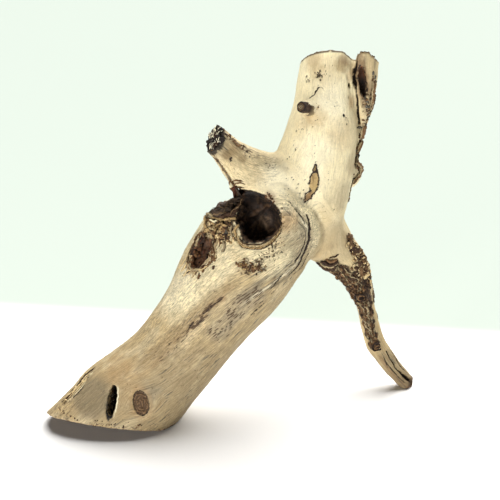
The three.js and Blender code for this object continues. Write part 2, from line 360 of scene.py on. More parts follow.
# The wood's surface
class Limb:
    """A limb's centre line, with places across, behind and along it measured from the fork."""

    def __init__(self, stations, steps=14):
        rows = curve(np.array(stations, float), steps)
        self.axis = rows[:, :3]
        self.halves = rows[:, 3:]
        ahead = np.gradient(self.axis, axis=0)
        self.ahead = ahead / np.linalg.norm(ahead, axis=1, keepdims=True)
        behind = np.array([0, 1, 0]) - self.ahead[:, 1:2] * self.ahead
        self.behind = behind / np.linalg.norm(behind, axis=1, keepdims=True)
        self.across = np.cross(self.behind, self.ahead)
        gaps = np.linalg.norm(np.diff(self.axis, axis=0), axis=1)
        self.travel = np.concatenate([[0], np.cumsum(gaps)])
        self.travel -= self.travel[np.linalg.norm(self.axis - FORK, axis=1).argmin()]

    def places(self, points):
        """Places (across, behind, along) and how many half widths from the centre line."""
        found = np.empty((len(points), 3))
        out = np.empty(len(points))
        for start in range(0, len(points), BATCH):
            part = slice(start, start + BATCH)
            apart = -2 * points[part] @ self.axis.T + (self.axis**2).sum(1)
            near = apart.argmin(1)
            rest = points[part] - self.axis[near]
            across = (rest * self.across[near]).sum(1)
            behind = (rest * self.behind[near]).sum(1)
            along = (rest * self.ahead[near]).sum(1)
            found[part] = columns(across, behind, along + self.travel[near])
            beyond = np.maximum(np.abs(along) - 2.5, 0) / 12
            halves = self.halves[near]
            out[part] = np.hypot(across / halves[:, 0], behind / halves[:, 1]) + beyond
        return found, out


LIMBS = [Limb(stations) for stations in (TRUNK, STEM, STUB, SLAB, PEG)]
# A limb's grain gives way to the next limb's over about this share of its half width
GRAIN_BLEND = 0.16
# The trunk's grain turns round it by this much for each mm along it
TWIST = 0.24
# Across a limb the grain follows an arc of this radius
GRAIN_ROUND = 48.0
# Points are placed this many at a time, to save memory
BATCH = 40000


def grain_places(points):
    """Places across, behind and along the grain, and each limb's share of the wood."""
    found = [limb.places(points) for limb in LIMBS]
    out = columns(*(away for _, away in found))
    share = np.exp(-(out - out.min(1, keepdims=True)) / GRAIN_BLEND)
    share /= share.sum(1, keepdims=True)
    places = sum(share[:, k : k + 1] * place for k, (place, _) in enumerate(found))
    around = GRAIN_ROUND * np.arcsin(np.clip(places[:, 0] / GRAIN_ROUND, -0.97, 0.97))
    places[:, 0] += share[:, 0] * (around - places[:, 0] - TWIST * places[:, 2])
    return places, share


class Skin:
    """The wood's surface: where it is, its grain, and what is carved and painted on it."""

    def __init__(self, points, normals):
        self.points = points
        self.normals = normals
        self.grain, self.share = grain_places(points)
        self.lift = np.zeros(len(points))
        self.paint = np.tile(TAN, (len(points), 1))
        self.marks = {
            name: np.zeros(len(points)) for name in ("streak", "speck", "dark", "calm", "bleached", "dashed")
        }
        self.lines = np.zeros((len(points), 3))

    @property
    def height(self):
        return self.points[:, 2]

    def waves(self, size, shift=0):
        return noise(self.points / size + shift)

    def grit(self, size, shift, layers=3):
        return layered(self.points / size + shift, layers)

    def threads(self, scale, shift, layers=3):
        """Noise that is drawn out along the grain."""
        return layered(self.grain * scale + shift, layers)

    def near(self, centre, radius):
        box = np.abs(self.points - np.asarray(centre, float)).max(1) < radius
        return np.flatnonzero(box)

    def tint(self, share, paint, amount=1.0):
        share = np.clip(share * amount, 0, 1)[:, None]
        self.paint = self.paint * (1 - share) + paint * share

    def cover(self, share, paint):
        """Paints over with one colour, or with a colour for each point."""
        self.paint = self.paint * (1 - share[:, None]) + paint * share[:, None]

    def mark(self, name, share):
        self.marks[name] = np.maximum(self.marks[name], share)

    def clear(self, share, *names):
        for name in names:
            self.marks[name] *= 1 - share

    def oval(self, at, facing, half, lean=0.0, depth=9.0, wobble=0.0, grit=4.0):
        """How far outside an oval on the surface each point is, in mm; negative inside."""
        found = np.full(len(self.points), FAR)
        spot = self.near(at, max(half) + 12)
        out = unit(facing)
        up, side = upright(out)
        along = math.cos(lean) * up + math.sin(lean) * side
        across = math.cos(lean) * side - math.sin(lean) * up
        rest = self.points[spot] - np.asarray(at, float)
        away = (np.hypot(rest @ across / half[0], rest @ along / half[1]) - 1) * min(half)
        if wobble:
            away += wobble * layered(self.points[spot] / grit + 5.1)
        facing_it = (self.normals[spot] @ out > -0.2) & (np.abs(rest @ out) < depth)
        found[spot] = np.where(facing_it, away, FAR)
        return found

    def ball(self, at, radius, wobble=0.0, grit=4.0):
        """How far outside a ball each point is, in mm."""
        found = np.full(len(self.points), FAR)
        spot = self.near(at, radius + 12)
        rest = self.points[spot] - np.asarray(at, float)
        found[spot] = np.linalg.norm(rest, axis=1) - radius
        if wobble:
            found[spot] += wobble * layered(self.points[spot] / grit + 9.7)
        return found

    def stroke(self, line, margin=12.0, wobble=0.0, grit=5.0):
        """Each point's distance from a line, its side of it (in mm) and how far along it is."""
        line = np.array(line, float)
        away = np.full(len(self.points), FAR)
        side = np.full(len(self.points), FAR)
        travel = np.zeros(len(self.points))
        low, high = line.min(0) - margin, line.max(0) + margin
        spot = np.flatnonzero(((self.points > low) & (self.points < high)).all(1))
        points = self.points[spot]
        if wobble:
            shift = columns(*(layered(points / grit + 31.0 * k) for k in (1, 2, 3)))
            points = points + wobble * shift
        done = 0.0
        for start, stop in zip(line, line[1:]):
            length = np.linalg.norm(stop - start)
            ahead = (stop - start) / length
            rest = points - start
            along = np.clip(rest @ ahead, 0, length)
            off = rest - along[:, None] * ahead
            apart = np.linalg.norm(off, axis=1)
            beside = (off * np.cross(self.normals[spot], ahead)).sum(1)
            closer = apart < away[spot]
            pick = spot[closer]
            away[pick] = apart[closer]
            side[pick] = beside[closer]
            travel[pick] = done + along[closer]
            done += length
        return away, side, travel, done

    def crack(self, line, width, depth, wobble=0.6, grit=5.0, dark=1.0):
        """A V-shaped crack along a line, thinning to its ends."""
        away, _, travel, length = self.stroke(line, margin=6 + width, wobble=wobble, grit=grit)
        thin = np.sqrt(np.clip(4 * travel * (length - travel) / length**2, 0.02, 1))
        reach = width * thin
        notch = np.clip(1 - away / np.maximum(reach, 0.05), 0, 1)
        self.lift -= depth * notch * thin
        self.mark("dark", dark * eased(away, reach * 1.05, reach * 0.35))

    def cracks(self, rows, **shape):
        for line, width, depth in rows:
            self.crack(line, width, depth, **shape)

    def pits(self, at, spread, count, size, depth=1.0, dark=0.85):
        """A cluster of pits scattered on the surface round a point."""
        for _ in range(count):
            hint = np.asarray(at, float) + random.normal(size=3) * spread / 2
            spot = self.near(hint, 8)
            if not len(spot):
                continue
            middle = self.points[spot[np.linalg.norm(self.points[spot] - hint, axis=1).argmin()]]
            radius = size * random.uniform(0.6, 1.3)
            stretch = random.uniform(1, 1.8)
            rest = self.points[spot] - middle
            away = np.linalg.norm(rest * [stretch, 1, 1 / stretch], axis=1) / radius
            self.lift[spot] -= depth * radius * eased(away, 1.15, 0.3)
            mark = dark * eased(away, 1.15, 0.6)
            self.marks["dark"][spot] = np.maximum(self.marks["dark"][spot], mark)


def shape_of_grain(skin):
    """Bends the grain round the knot hole and the knots, as it grew round them."""
    for at, radius in ((HOLE["at"], 23.0), (FOOT_KNOT["at"], 7.5), (SLIT["at"], 5.0), (POCKET["at"], 8.0)):
        place, _ = grain_places(np.array([at], float))
        spot = skin.near(at, radius * 3.2)
        rest = skin.grain[spot] - place[0]
        apart = np.hypot(rest[:, 0], rest[:, 2])
        front = eased(np.linalg.norm(skin.points[spot] - at, axis=1), radius * 3.2, radius * 1.6)
        bend = np.clip(radius**2 / np.maximum(apart, radius) ** 2, 0, 1)
        skin.grain[spot, 0] -= rest[:, 0] * bend * front * 0.9


def tone_and_grain(skin):
    """The bare wood: tan at the foot, cream up the limb, ridged along the grain."""
    height = skin.height
    stem = skin.share[:, 1] + skin.share[:, 3] + skin.share[:, 4]
    cream = eased(height + 12 * skin.waves(40), 128, 205)
    skin.paint[:] = TAN * (1 - cream[:, None]) + CREAM * cream[:, None]
    # The trunk is painted darker towards the bottom.
    skin.tint(eased(height + 10 * skin.waves(30), 105, 50) * skin.share[:, 0], LOW_TAN, 0.78)
    skin.tint(eased(height, 118, 60) * stem, SAND, 0.75)
    skin.tint(skin.share[:, 2], SAND, 0.55)

    # Where limbs meet, the grain has no one way to run, so it is left calm
    mixed = eased(skin.share.max(1), 0.93, 0.6)
    skin.marks["calm"] = mixed
    grain = skin.grain
    along = 1 - mixed
    broad = layered(grain * [0.06, 0.06, 0.022] + 3)
    skin.tint(eased(broad, 0.0, 0.6) * along, PALE, 0.16)
    skin.tint(eased(broad, 0.0, -0.6) * along, DRAB, 0.14)
    blotch = skin.grit(9, 60)
    skin.tint(eased(blotch, 0.1, 0.8), OCHRE, 0.08)
    skin.tint(eased(blotch, -0.1, -0.8), PALE, 0.12)
    ridges = layered(grain * [0.34, 0.34, 0.045] + 11)
    fine = layered(grain * [0.9, 0.9, 0.13] + 23, 2)
    skin.lift += along * (0.32 * ridges + 0.16 * fine) + 0.35 * skin.waves(14)
    skin.lift += 0.1 * skin.waves(1.7)
    rough = skin.share[:, 0]
    skin.lift -= 0.55 * rough * along * eased(ridges, 0.25, 0.75)
    around = grain[:, 0] + TWIST * grain[:, 2]
    # The trunk's lower right side is painted drab, partly as grey weathering and partly as painted shade,
    # and streaked more.
    lower = eased(around + 6 * skin.waves(22), -18, 20) * rough
    skin.tint(lower, DRAB, 0.28)
    skin.marks["streak"] = 0.18 + 0.32 * rough + 0.5 * lower + 0.3 * skin.share[:, 2]
    skin.marks["speck"] = 0.3 + 0.3 * rough
    skin.marks["bleached"] = stem * (0.45 + 0.27 * eased(height, 110, 150)) + 0.25 * skin.share[:, 2]
    skin.marks["bleached"] += 0.4 * rough * eased(height, 85, 50)


def weathering(skin):
    """Grey, worn and dirty areas of the bare wood, with painted shade under the twig peg and down the limb's
    lower right side.
    """
    for at, radius, paint, amount in (
        ([30, 6, 140], 14, GREY, 0.2),
        ([40, 12, 160], 15, GREY, 0.34),
        ([19, 30, 215], 9, GREY, 0.3),
        ([-98, -12, 52], 22, OCHRE, 0.1),
        ([28, 8, 175], 9, OCHRE, 0.55),
        ([15.5, 16.5, 192], 4.5, RUST, 0.6),
        ([82, 50, 262], 5, OCHRE, 0.5),
        ([96, 56, 292], 10, DRAB, 0.6),
        ([96, 56, 272], 9, BROWN, 0.4),
        ([41, 37, 251], 6, BROWN, 0.35),
        ([-104, -12, 56], 14, OCHRE, 0.15),
        ([-64, -15, 52], 26, DRAB, 0.45),
        ([-79, -21, 40], 7, GREY, 0.3),
        ([50, 52, 295], 7, STRAW, 0.55),
        ([72.5, 49.5, 292], 5.5, STRAW * 0.8, 0.75),
        ([75, 51, 296], 3.5, BARK, 0.5),
        ([81.5, 56, 291], 5.5, STRAW * 0.8, 0.6),
        ([81, 54, 283], 4, OCHRE, 0.4),
        ([53, 47.5, 286], 6, STRAW, 0.4),
        # Painted shade under the twig peg: the next two rows
        ([51, 34.5, 252.5], 8, STRAW * 0.9, 0.6),
        ([45, 31, 254], 5, BROWN, 0.35),
        ([-20, 20, 226], 10, STRAW * 0.9, 0.3),
        ([82, 43, 210], 9, OCHRE * 0.8, 0.3),
        ([60, 47, 284], 13, STRAW, 0.2),
        ([74, 45, 235], 16, OCHRE, 0.2),
        ([79, 50, 215], 15, DRAB, 0.35),
        ([52, 28, 226], 16, PALE, 0.7),
        ([48, 25, 200], 18, PALE, 0.35),
        ([66, 40, 255], 15, PALE, 0.45),
        ([79, 41, 137], 12, CREAM, 0.3),
        ([-1, 2, 152], 12, CREAM, 0.5),
        ([-58, 8, 117], 20, PALE, 0.6),
        ([26, 2.5, 143], 10, CREAM, 0.7),
        ([10, -2, 152], 10, CREAM, 0.55),
        ([-17.2, 17.3, 226.1], 3.4, STRAW * 0.6, 0.8),
        ([-5.5, 21.5, 222.8], 3, STRAW * 0.6, 0.7),
        ([-11, 21.5, 230.8], 5, STRAW * 0.6, 0.6),
        ([55.1, 34.1, 253.5], 6, TAN, 0.6),
        ([-30, 66, 118], 22, GREY, 0.3),
        ([6, 80, 156], 16, DRAB, 0.5),
        ([-84, 46, 48], 20, BROWN, 0.25),
        ([60, 86, 262], 16, TAN, 0.45),
        ([46, 82, 214], 14, GREY, 0.25),
        ([80, 82, 170], 16, TAN, 0.4),
        ([39.9, 39.9, 241.6], 7, TAN, 0.25),
        ([-56, 2, 103], 16, CREAM, 0.4),
        ([22, 26, 204], 13, PALE, 0.8),
        ([63, 39, 268], 14, PALE, 0.7),
        # Painted shade down the limb's lower right side: the next five rows
        ([80, 44, 214], 10, DRAB, 0.35),
        ([74, 33, 190], 13, DRAB, 0.5),
        ([70, 34, 156], 13, DRAB, 0.4),
        ([66, 36, 142], 9, DRAB, 0.4),
        ([78, 40, 138], 8, DRAB, 0.3),
        ([60, 26, 176], 9, TAN, 0.35),
        ([72, 36, 242], 12, TAN, 0.3),
    ):
        away = skin.ball(at, radius, wobble=radius * 0.3, grit=radius * 0.8)
        skin.tint(eased(away, 3 + radius * 0.2, -radius * 0.55), paint, amount)


# Bands of colour down the trunk's front: points along them, reach, fading, colour, amount and dashes
BANDS = (
    (
        [[-10, -2, 150], [-20, -1, 144], [-28, -2.6, 134], [-38, -2.7, 124], [-48, -3, 113],
         [-58, -3.7, 101]],
        17,
        6,
        CREAM * 0.97,
        0.85,
        0.0,
    ),
    ([[30, 4, 136], [18, 0, 138], [8, -2.5, 134], [0, -4, 131]], 9, 4, CREAM * 0.95, 0.6, 0.1),
    (
        [
            [-7.9, -5.2, 129.8], [-19, -6.4, 122.7], [-29.3, -7, 115.3], [-41.3, -7.7, 104.5],
            [-52.7, -8.6, 93.7], [-62.4, -10.1, 83.1], [-72.2, -11.4, 73.2], [-84, -13, 62],
            [-92, -14, 54],
        ],
        9,
        2.5,
        STRAW * 0.6 + DRAB * 0.4,
        0.85,
        0.3,
    ),
    (
        [
            [14.3, -0.8, 123.1], [3.2, -4.4, 116], [-6.4, -6.4, 109.9], [-17.5, -8.5, 98],
            [-26.4, -10.1, 86.6], [-34, -11.8, 76],
        ],
        13,
        5,
        DRAB * 0.6 + GREY * 0.85,
        0.75,
        0.88,
    ),
    ([[-33.6, -11.5, 78.5], [-42.5, -13.4, 68], [-52, -15, 58]], 9, 2, DRAB * 0.9 + GREY * 0.2, 0.4, 0.4),
    (
        [[-11.1, -6.6, 120.2], [-22.2, -7.9, 111.4], [-33.4, -9.3, 100.9], [-46.3, -11.8, 83.8],
         [-56, -13.6, 72.5]],
        5,
        1.5,
        TAN * 0.75 + PALE * 0.2,
        0.5,
        0.0,
    ),
)


def grain_bands(skin):
    """Cream, brown, pale and grey bands down the trunk's front, dashed with short dark cracks."""
    threads = skin.threads([0.5, 0.5, 0.035], 83, 3)
    clumps = eased(skin.grit(7, 51), -0.5, 0.25)
    for line, reach, fade, paint, amount, dashed in BANDS:
        away, _, travel, length = skin.stroke(line, margin=reach + 8, wobble=1.8, grit=14)
        band = eased(away, reach, fade) * eased(travel, 0, 8) * eased(travel, length, length - 14)
        skin.tint(band * (0.7 + 0.3 * eased(threads, -0.3, 0.3)), paint, amount)
        dashes = skin.marks["dashed"]
        dashes += (dashed * clumps - dashes) * band
    for line, reach, dashed in (
        ([[-20.6, -7.3, 116.2], [-26.9, -7.8, 112.2], [-31.7, -8, 108.9], [-38.2, -8.8, 101.5]], 3.2, 1.0),
        ([[-34, -9, 101.5], [-36.6, -9.4, 99.2], [-42.2, -9.8, 95.1], [-46, -10, 92]], 2.6, 0.95),
        ([[-44.6, -9.1, 97.3], [-50.2, -10.3, 89.3], [-60, -11, 80]], 2.6, 0.7),
        ([[-62, -12, 75], [-70, -13, 68], [-78, -14, 60]], 3, 0.6),
    ):
        away, _, _, _ = skin.stroke(line, margin=8, wobble=0.6)
        core = eased(away, reach, reach * 0.4)
        skin.tint(core, BROWN * 0.8 + STRAW * 0.2, 0.45 * dashed)
        skin.mark("dashed", dashed * core)
    for line in (
        [[-20.6, -7.3, 116.2], [-26.9, -7.8, 112.2], [-31.7, -8.0, 108.9]],
        [[-30, -8, 110], [-35, -8.4, 105.2], [-38.2, -8.8, 101.5]],
        [[-36.6, -9.4, 99.2], [-42.2, -9.8, 95.1]],
        [[-44.6, -9.1, 97.3], [-50.2, -10.3, 89.3]],
    ):
        skin.crack(line, 1.1, 0.8, wobble=0.3, grit=4, dark=0.75)


# The line of the valley that sweeps round the knot hole's right, from its top down
VALLEY = [
    [29, 19, 193], [33, 14.5, 187], [42, 14.2, 176.7], [47.9, 15.7, 168], [48.8, 15.5, 159.7],
    [45.1, 14.7, 145.7], [37.7, 9.8, 137.1], [24, 3.6, 126.6], [8, -2, 117], [-12, -6.5, 104],
]


# The valley's boldest furrows: points along them, width and depth
VALLEY_LINES = (
    (
        [
            [44.5, 15.5, 182], [46.8, 16.4, 173], [47.9, 14.9, 165.8], [47.2, 14.2, 158.5],
            [44.9, 13.3, 149.5], [41.5, 12.5, 141.3], [36.2, 10, 133.7], [30.9, 7.3, 129.5],
        ],
        2.1,
        2.4,
    ),
    ([[44.8, 11.8, 161], [43, 10.9, 154], [40.7, 10.1, 147.5], [36.7, 8, 141.7], [31.1, 4.9, 137.7]],
     1.0, 1.2),
    ([[49.9, 17.5, 152.4], [46.9, 17.9, 142.9], [42.9, 16.2, 135.8], [37.1, 12.3, 130.3],
      [31.5, 10.2, 124.2]], 1.3, 1.6),
    ([[42, 9.5, 151], [38.5, 8.5, 144.5], [34, 6.5, 140.5]], 0.8, 0.9),
    ([[27.1, 3.8, 134.1], [22.3, 2.4, 127.9], [16, 0.1, 120.2]], 1.0, 1.1),
    ([[31, 16, 189], [36, 13.5, 183.5], [41, 13, 177], [44.5, 13, 170]], 0.8, 0.8),
    ([[24, 5, 122], [14, 0.5, 114], [4, -3, 106.5]], 0.9, 1.0),
    ([[20, 4, 116], [9, -0.5, 107], [-3, -5, 97]], 0.9, 1.0),
)


def valley(skin):
    """The dark parallel furrows that sweep round the right of the knot hole, with painted light beside them.
    """
    away, side, travel, length = skin.stroke(VALLEY, margin=16)
    ends = eased(travel, 0, 14) * eased(travel, length, length - 35)
    shift = side + 4.5 + 2.2 * noise(columns(travel / 16, 0 * travel, 0 * travel))
    band = eased(np.abs(shift), 8, 4) * (away < 15) * ends
    rows = layered(columns(side / 1.7, np.zeros_like(side), travel / 26) + 4.4, 2)
    patchy = eased(noise(columns(side / 7, 0 * side, travel / 14) + 2), -0.5, 0.4)
    skin.lift -= 0.7 * eased(rows, 0.1, 0.5) * band * patchy
    skin.tint(band * patchy, GREY, 0.3)
    skin.tint(eased(np.abs(side + 2.4), 1.6, 0.5) * ends * (away < 9) * eased(travel, 14, 30), PALE, 0.6)
    skin.lines = columns(np.where(away < 15, side, 0), travel, band * (0.35 + 0.65 * patchy))
    # Painted light: the wood right of the furrows is painted cream against the shade that the groove there
    # gets.
    beside = eased(np.abs(side - 7), 6.5, 3) * (away < 15) * eased(travel, 10, 22)
    skin.tint(beside * eased(travel, 62, 45), CREAM, 0.75)
    skin.cracks(VALLEY_LINES, wobble=0.5, grit=6, dark=0.95)


# The crumbling wood between the knot hole and the pocket: middles and radii
CRUST_PLACES = (
    ([-16, 21, 187], 6.5),
    ([-24, 18, 181.5], 6.5),
    ([-30, 20, 177], 5.5),
    ([-14, 13, 177], 5),
    ([-20, 13, 172], 6),
    ([-28, 14, 170], 6),
    ([-14.5, 8, 168], 4),
    ([-18, 7.5, 163.5], 3.5),
    ([-33, 13, 166], 3.5),
)


def hollow_walls(skin):
    """The hollow's dark, furrowed walls, with painted light and shade on them; gives each point's share in
    them and its furrow.
    """
    inwards = unit(HOLE["inwards"])
    rest = skin.points - HOLE["at"]
    depth = rest @ inwards
    flat = rest - depth[:, None] * inwards
    radius = np.linalg.norm(flat, axis=1)
    to_axis = -(flat * skin.normals).sum(1) / np.maximum(radius, 0.1)
    back = np.where(depth > 14, -skin.normals @ inwards, 0)
    inside = (radius < 30) & (depth > -6) & (depth < 45)
    below_rim = eased(skin.height, 196, 193.6)
    hollow = eased(np.maximum(to_axis, back), 0.12, 0.45) * inside * eased(radius, 29, 25) * below_rim
    spot = np.flatnonzero(hollow > 0.02)
    turn = np.arctan2(flat[spot, 2], flat[spot, 0])
    rows = layered(columns(4.2 * np.cos(turn), 4.2 * np.sin(turn), depth[spot] / 16) + 8, 3)
    knobs = layered(skin.points[spot] / 4.5 + 2, 3)
    skin.lift[spot] += hollow[spot] * (0.9 * rows + 0.5 * knobs)
    shade = np.zeros(len(skin.points))
    shade[spot] = eased(rows + knobs * 0.6, -0.1, 0.5)
    furrows = np.zeros(len(skin.points))
    furrows[spot] = rows
    # Painted light and shade: near black in the furrows' grooves and lit on their ridges, darker with depth
    # and high up under the brow, and lighter low down, where the lamps don't reach.
    deep = eased(depth, 0, 24)[:, None]
    glow = (0.55 + 0.9 * eased(skin.height, 184, 168))[:, None]
    lit = (BROWN * 0.5 + GREY * 0.16) * (1 - 0.4 * deep) * glow
    inner = NEAR_BLACK * 0.8 * (1 - shade[:, None]) + lit * shade[:, None]
    skin.cover(hollow, inner)
    skin.clear(hollow, "streak", "speck")
    return hollow, furrows


def hollow_streaks(skin, hollow, furrows):
    """Brown and black streaks down the hollow's walls."""
    for line, reach, paint, amount in (
        ([[13, 33, 168], [8, 33, 165], [3, 32, 160], [0, 28, 157]], 7, BROWN * 0.7 + GREY * 0.35, 0.8),
        ([[-8, 22, 182], [-7, 26, 176], [-4, 30, 171]], 4, BROWN * 0.6 + GREY * 0.2, 0.6),
        ([[8, 32, 179], [14, 31, 178], [20, 28, 176], [21, 29, 171]], 6, NEAR_BLACK * 0.3, 0.9),
        ([[-3, 30, 170], [-4.5, 28, 166], [-3, 27, 161]], 2.5, NEAR_BLACK * 0.5, 0.7),
    ):
        away, _, _, _ = skin.stroke(line, margin=10, wobble=2.2, grit=4)
        near = eased(away, reach, reach * 0.3) * hollow
        skin.tint(near * (0.3 + 0.7 * eased(furrows, -0.3, 0.3)), paint, amount)


def hollow_edges(skin, hollow):
    """The undercut brow above the hollow, with a painted shadow under it, and the lit sill across it."""
    brow = [
        [-12.9, 29.4, 193.8], [-9.6, 26.2, 194.1], [-5.6, 23.3, 194.8], [0, 21.1, 194.4],
        [5.6, 20.1, 193.4],
    ]
    away, _, _, _ = skin.stroke([*brow, [11.1, 18.5, 192.4]], margin=8, wobble=0.5, grit=3)
    skin.lift -= 2.2 * eased(away, 2.8, 1.2)
    # Painted shadow: a near black band under the brow.
    skin.tint(eased(away, 2.6, 1.6), NEAR_BLACK * 0.8)
    sill = [[16.1, 27.2, 183.1], [9.8, 32, 178], [4.1, 33, 174.7], [-1.6, 31, 170.4], [-7, 22, 169]]
    away, side, _, _ = skin.stroke(sill, margin=9, wobble=0.8)
    fold = eased(away, 3.4, 0.6) * hollow
    skin.lift += 2.4 * fold
    skin.tint(fold * eased(side, 1.5, -1.5), BROWN * 0.9, 0.6)
    skin.tint(eased(np.abs(away - 3.6), 1.6, 0.4) * hollow, NEAR_BLACK * 0.6, 0.8)


def hollow_lip(skin):
    """The thin pale lip round the hollow's lower edge."""
    lip = [
        [-9.6, 5, 165.5], [-9.4, 3.2, 161.9], [-6, 0.8, 158], [-0.8, 0.2, 156.7], [7.9, -0.2, 157],
        [13, 0, 158.7], [17.5, 1.4, 162], [22.5, 4.2, 167.5], [24.5, 7.5, 174],
    ]
    away, _, travel, length = skin.stroke(lip, margin=8, wobble=0.5, grit=3)
    ends = eased(travel, 0, 5) * eased(travel, length, length - 8)
    whole = eased(skin.grit(2.6, 88), -0.5, -0.1)
    ridge = eased(away + 0.5 * skin.waves(2), 1.3, 0.6) * ends * whole
    skin.lift += ridge
    skin.tint(ridge, STRAW, 0.9)
    outline = eased(np.abs(away - 1.7), 0.9, 0.3) * ends
    skin.mark("dark", 0.85 * outline * eased(skin.waves(3), -0.5, -0.1))
    skin.lift -= 0.5 * outline


def torn_shoulder(skin):
    """The notch torn into the trunk's upper side, from the hollow to the back."""
    for line, reach, depth in (
        ([[-17, 22, 190], [-15, 45, 196], [-14, 66, 194], [-12, 86, 184]], 13.5, 6.0),
        ([[-24, 26, 185], [-23, 39, 185.5], [-22, 54, 187], [-20, 70, 186]], 10, 5.5),
        ([[-30, 26, 178], [-33, 45, 180], [-34, 60, 178]], 9, 2.5),
    ):
        away, _, _, _ = skin.stroke(line, margin=15, wobble=1.8, grit=5)
        torn = eased(away, reach, reach * 0.4) * eased(skin.height, 200, 195)
        skin.lift -= depth * torn
        skin.tint(eased(torn, 0.02, 0.2), UMBER * 0.7 + BROWN * 0.1)
        skin.clear(torn, "streak")


def crumbling_wood(skin, hollow):
    """The dark, crumbly ground that the crust left of the hollow lies on."""
    for at, radius in CRUST_PLACES:
        crust = eased(skin.ball(at, radius, wobble=1.6, grit=3), 0.8, -0.8) * (1 - hollow)
        crumbs = skin.grit(1.8, 14, 3)
        skin.tint(crust, UMBER * 0.6, 0.9)
        skin.tint(crust * eased(crumbs, 0.12, 0.4), STRAW * 0.9, 0.8)
        skin.lift += crust * 0.7 * crumbs


def knot_hole(skin):
    """The open hollow, from its walls out to the torn and crumbling wood round it."""
    hollow, furrows = hollow_walls(skin)
    hollow_streaks(skin, hollow, furrows)
    hollow_edges(skin, hollow)
    hollow_lip(skin)
    torn_shoulder(skin)
    crumbling_wood(skin, hollow)
    rim = skin.ball(HOLE["at"], 25)
    crisp = eased(np.abs(hollow - 0.5), 0.45, 0.1) * (rim < 3)
    skin.tint(crisp, UMBER, 0.75)


def pocket(skin):
    """The smaller rotted pocket left of the knot hole, reddish inside and darkened with depth as painted
    shade, with a torn rim.
    """
    away = skin.oval(*mouth(POCKET), 16, wobble=2.2, grit=4.5)
    inside = eased(away, 0.5, -1.0)
    knobs = skin.grit(3.2, 7, 3)
    skin.lift += inside * 0.9 * knobs
    # Painted shade: the inside darkens with depth, and is lighter on its raised knobs.
    depth = eased(away, 0, -6)[:, None]
    shade = (0.65 + 0.7 * eased(knobs, -0.4, 0.6))[:, None]
    inner = ((RUST * 0.25 + BROWN * 0.6) * (1 - 0.55 * depth) + UMBER * 0.25 * depth) * shade
    skin.cover(inside, inner)
    rim = eased(np.abs(away - 1.6), 1.9, 0.5)
    skin.lift += 0.7 * rim * (0.6 + 0.4 * skin.waves(5))
    skin.tint(rim, OCHRE * 0.6 + DRAB * 0.3, 0.7)
    dark = eased(np.abs(away - 3.4 - 0.8 * skin.waves(4)), 0.8, 0.2)
    skin.mark("dark", 0.6 * dark * (skin.waves(5, 3) > 0))
    skin.clear(inside, "streak")


def foot_facet(skin):
    """The scooped facet at the front of the foot, painted darker as shade."""
    scoop = skin.oval(*mouth(FACET), 14, wobble=1.5, grit=9)
    inside = eased(scoop, 2.0, -7.0)
    # Painted shade on the facet.
    skin.tint(inside, DRAB * 0.66, 0.85)
    skin.lift += inside * 0.2 * noise(skin.grain * [0.5, 0.5, 0.04])


def foot_tip(skin):
    """The foot's tip, split along the grain."""
    splits = (
        ([[-128, -2.5, 51.5], [-135, -5, 43.5], [-141.5, -5.5, 37], [-149, -4.5, 30], [-157, -4, 22.5]],
         1.2, 2.2),
        ([[-130.7, -5.6, 47.4], [-138, -8, 39.5], [-146, -8.5, 31], [-153.5, -8, 23.5]], 1.0, 1.8),
        ([[-130, -0.5, 50.5], [-137, -1.5, 43], [-146, -2, 34], [-152, -1.5, 27.5]], 0.9, 1.4),
        ([[-133, -8.5, 43], [-139, -10.5, 36.5], [-147, -11, 28]], 0.7, 0.8),
    )
    skin.cracks(splits, wobble=0.35)
    ridge, _, _, _ = skin.stroke([[-129.6, -3.8, 49], [-137, -8, 39.8], [-149, -9.5, 27.5]], wobble=0.4)
    skin.lift += 0.6 * eased(ridge, 2.4, 0.6)
    skin.tint(eased(ridge, 2.6, 0.8), CREAM, 0.6)
    tip = skin.ball([-152, -6, 26], 12, wobble=2)
    skin.tint(eased(tip, 4, -6), SAND, 0.5)
    strands = skin.threads([1.1, 1.1, 0.1], 47, 2)
    skin.tint(eased(tip, 8, -2) * eased(strands, 0.1, 0.4), UMBER * 1.2, 0.7)
    skin.lift -= 0.3 * eased(tip, 8, -2) * eased(strands, 0.1, 0.4)


def foot_slit(skin):
    """The deep upright slit, painted black inside as shade, with a pale right rim."""
    slit = skin.oval(*mouth(SLIT), 20, wobble=0.6, grit=3)
    inside = eased(slit, 0.35, -0.35)
    knobs = skin.grit(2.6, 13, 3)
    skin.lift += inside * 0.8 * knobs
    # Painted shade: the inside is near black, lighter on its raised knobs.
    shade = (0.5 + 1.2 * eased(knobs, 0, 0.7))[:, None]
    skin.cover(inside, NEAR_BLACK * shade)
    rim = eased(np.abs(slit - 0.9), 0.8, 0.2)
    right = eased(skin.points[:, 0], -110.5, -107.5) * eased(skin.height, 47, 41)
    skin.tint(rim * right, PALE, 0.9)
    skin.lift += 0.35 * rim * right


def foot_knot(skin):
    """The oval knot beside the slit, with rings."""
    knot = skin.oval(*mouth(FOOT_KNOT), 10, wobble=0.35, grit=3)
    inside = eased(knot, 0.3, -0.3)
    turns = knot + 0.85 * skin.grit(2.5, 3)
    skin.lift += inside * (0.35 * np.sin(turns * 3.4) + 0.35 * layered(skin.points / 1.8, 2) - 0.35)
    skin.tint(inside, BROWN * 0.3 + UMBER * 0.35, 0.95)
    skin.tint(inside * eased(np.sin(turns * 3.4), 0.5, 0.95), BROWN * 1.2 + DRAB * 0.2, 0.75)
    skin.clear(inside, "streak")
    skin.mark("dark", 0.7 * eased(np.abs(knot), 0.7, 0.15))
    skin.tint(eased(knot, 5, 0.5) * (1 - inside), OCHRE, 0.3)


